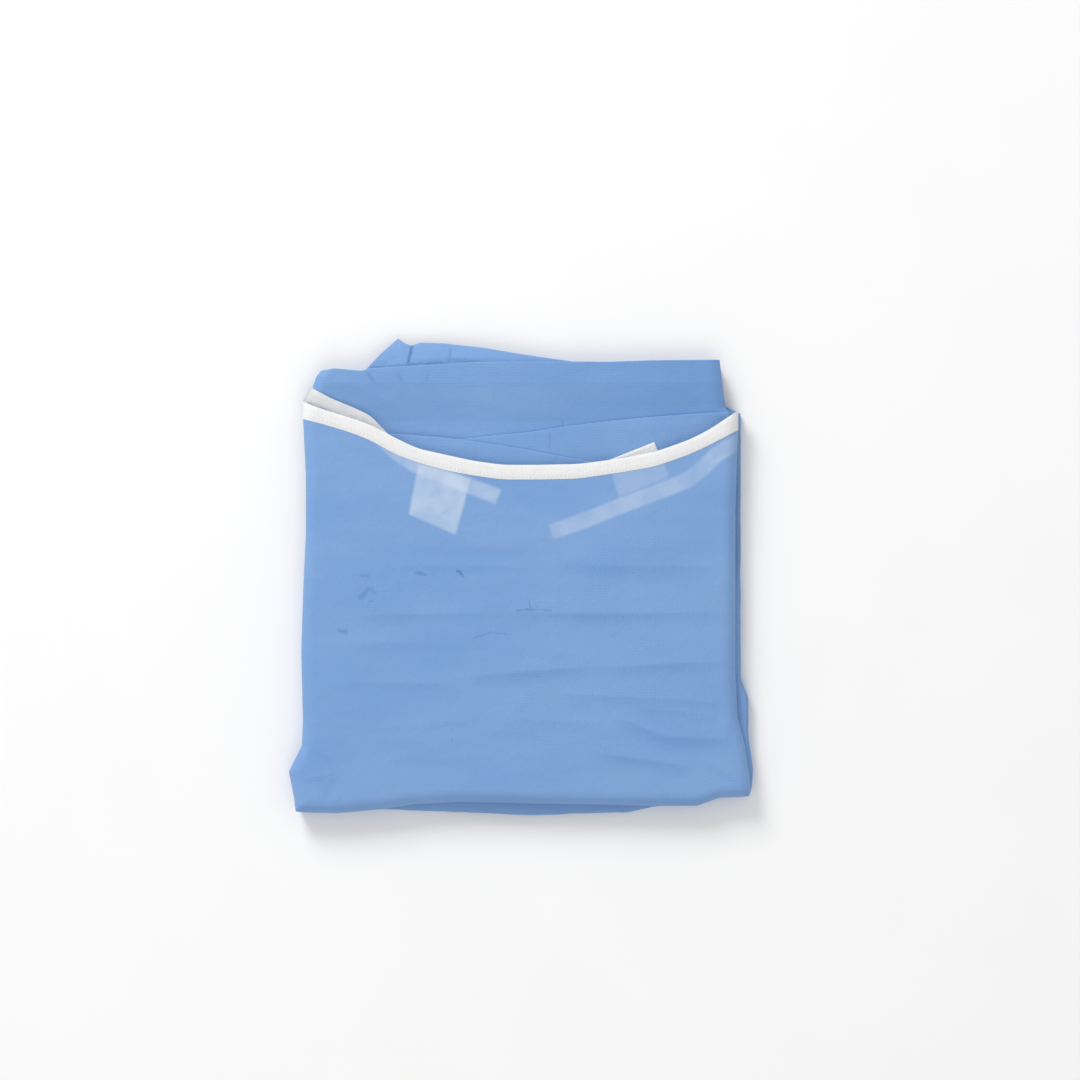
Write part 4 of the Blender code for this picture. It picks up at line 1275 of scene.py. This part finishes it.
studio = {
    "photoCentre": (11.285, 22.265),  # what the middle of the photograph looks at
    "photoWidth": 658.8,
    "cameraHeight": 2600.0,  # over the middle of the upper layers
    "belowTop": 6.0,
    "sensor": 36.0,
    "floorReach": 6,  # metres
    "floorFinish": {"roughness": 0.8, "specular": 0.2, "sheen": 0.0},
    "floorClouds": (0.01, 2.0), "floorLimits": (0.3, 0.7),
    "skyStrength": 0.62,
    # columns: name, place, size, watts; each looks at the middle of the bundle's foot
    "lights": (("keyLight", (-1.19, 2.12, 1.62), 1.1, 52.0), ("fillLight", (0.1, -1.3, 1.9), 1.6, 7.0)),
}


def buildFloor():
    mesh = bpy.data.meshes.new("floor")
    corners = ((-1, -1), (1, -1), (1, 1), (-1, 1))
    mesh.from_pydata([(x * studio["floorReach"], y * studio["floorReach"], 0) for x, y in corners], [],
                     [(0, 1, 2, 3)])
    material, tree, shader, place = newMaterial("paleFloor", studio["floorFinish"])
    tone = ramp(tree, noise(tree, place, *studio["floorClouds"]), *studio["floorLimits"])
    tree.links.new(mixColours(tree, tone, palette["floor"], palette["floorPale"]),
                   shader.inputs["Base Color"])
    mesh.materials.append(material)
    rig.stage(addObject("floor", mesh))


def buildLights():
    world = bpy.data.worlds.new("studio")
    world.use_nodes = True
    background = world.node_tree.nodes["Background"]
    background.inputs["Color"].default_value = (1.0, 1.0, 1.0, 1.0)
    background.inputs["Strength"].default_value = studio["skyStrength"]
    bpy.context.scene.world = world
    for name, spot, size, power in studio["lights"]:
        light = bpy.data.lights.new(name, "AREA")
        light.size = size
        light.energy = power
        lamp = addObject(name, light)
        lamp.location = spot
        lamp.rotation_mode = "QUATERNION"
        lamp.rotation_quaternion = (-Vector(spot)).to_track_quat("-Z", "Y")


def buildCamera():
    camera = bpy.data.cameras.new("camera")
    camera.sensor_width = studio["sensor"]
    camera.lens = studio["sensor"] * studio["cameraHeight"] / studio["photoWidth"]
    eye = addObject("camera", camera)
    height = studio["cameraHeight"] + stack["top"] - studio["belowTop"]
    eye.location = inFrame((*studio["photoCentre"], height))
    bpy.context.scene.camera = eye


bpy.context.scene.view_settings.view_transform = "Standard"
buildFloor()
buildLights()
buildCamera()
print("studio set")

sizes = {"cad": [list(map(float, corner)) for corner in cadBox],
         "visual": [list(map(float, corner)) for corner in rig.bounds()]}
with open("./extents.json", "w") as out:
    json.dump(sizes, out)
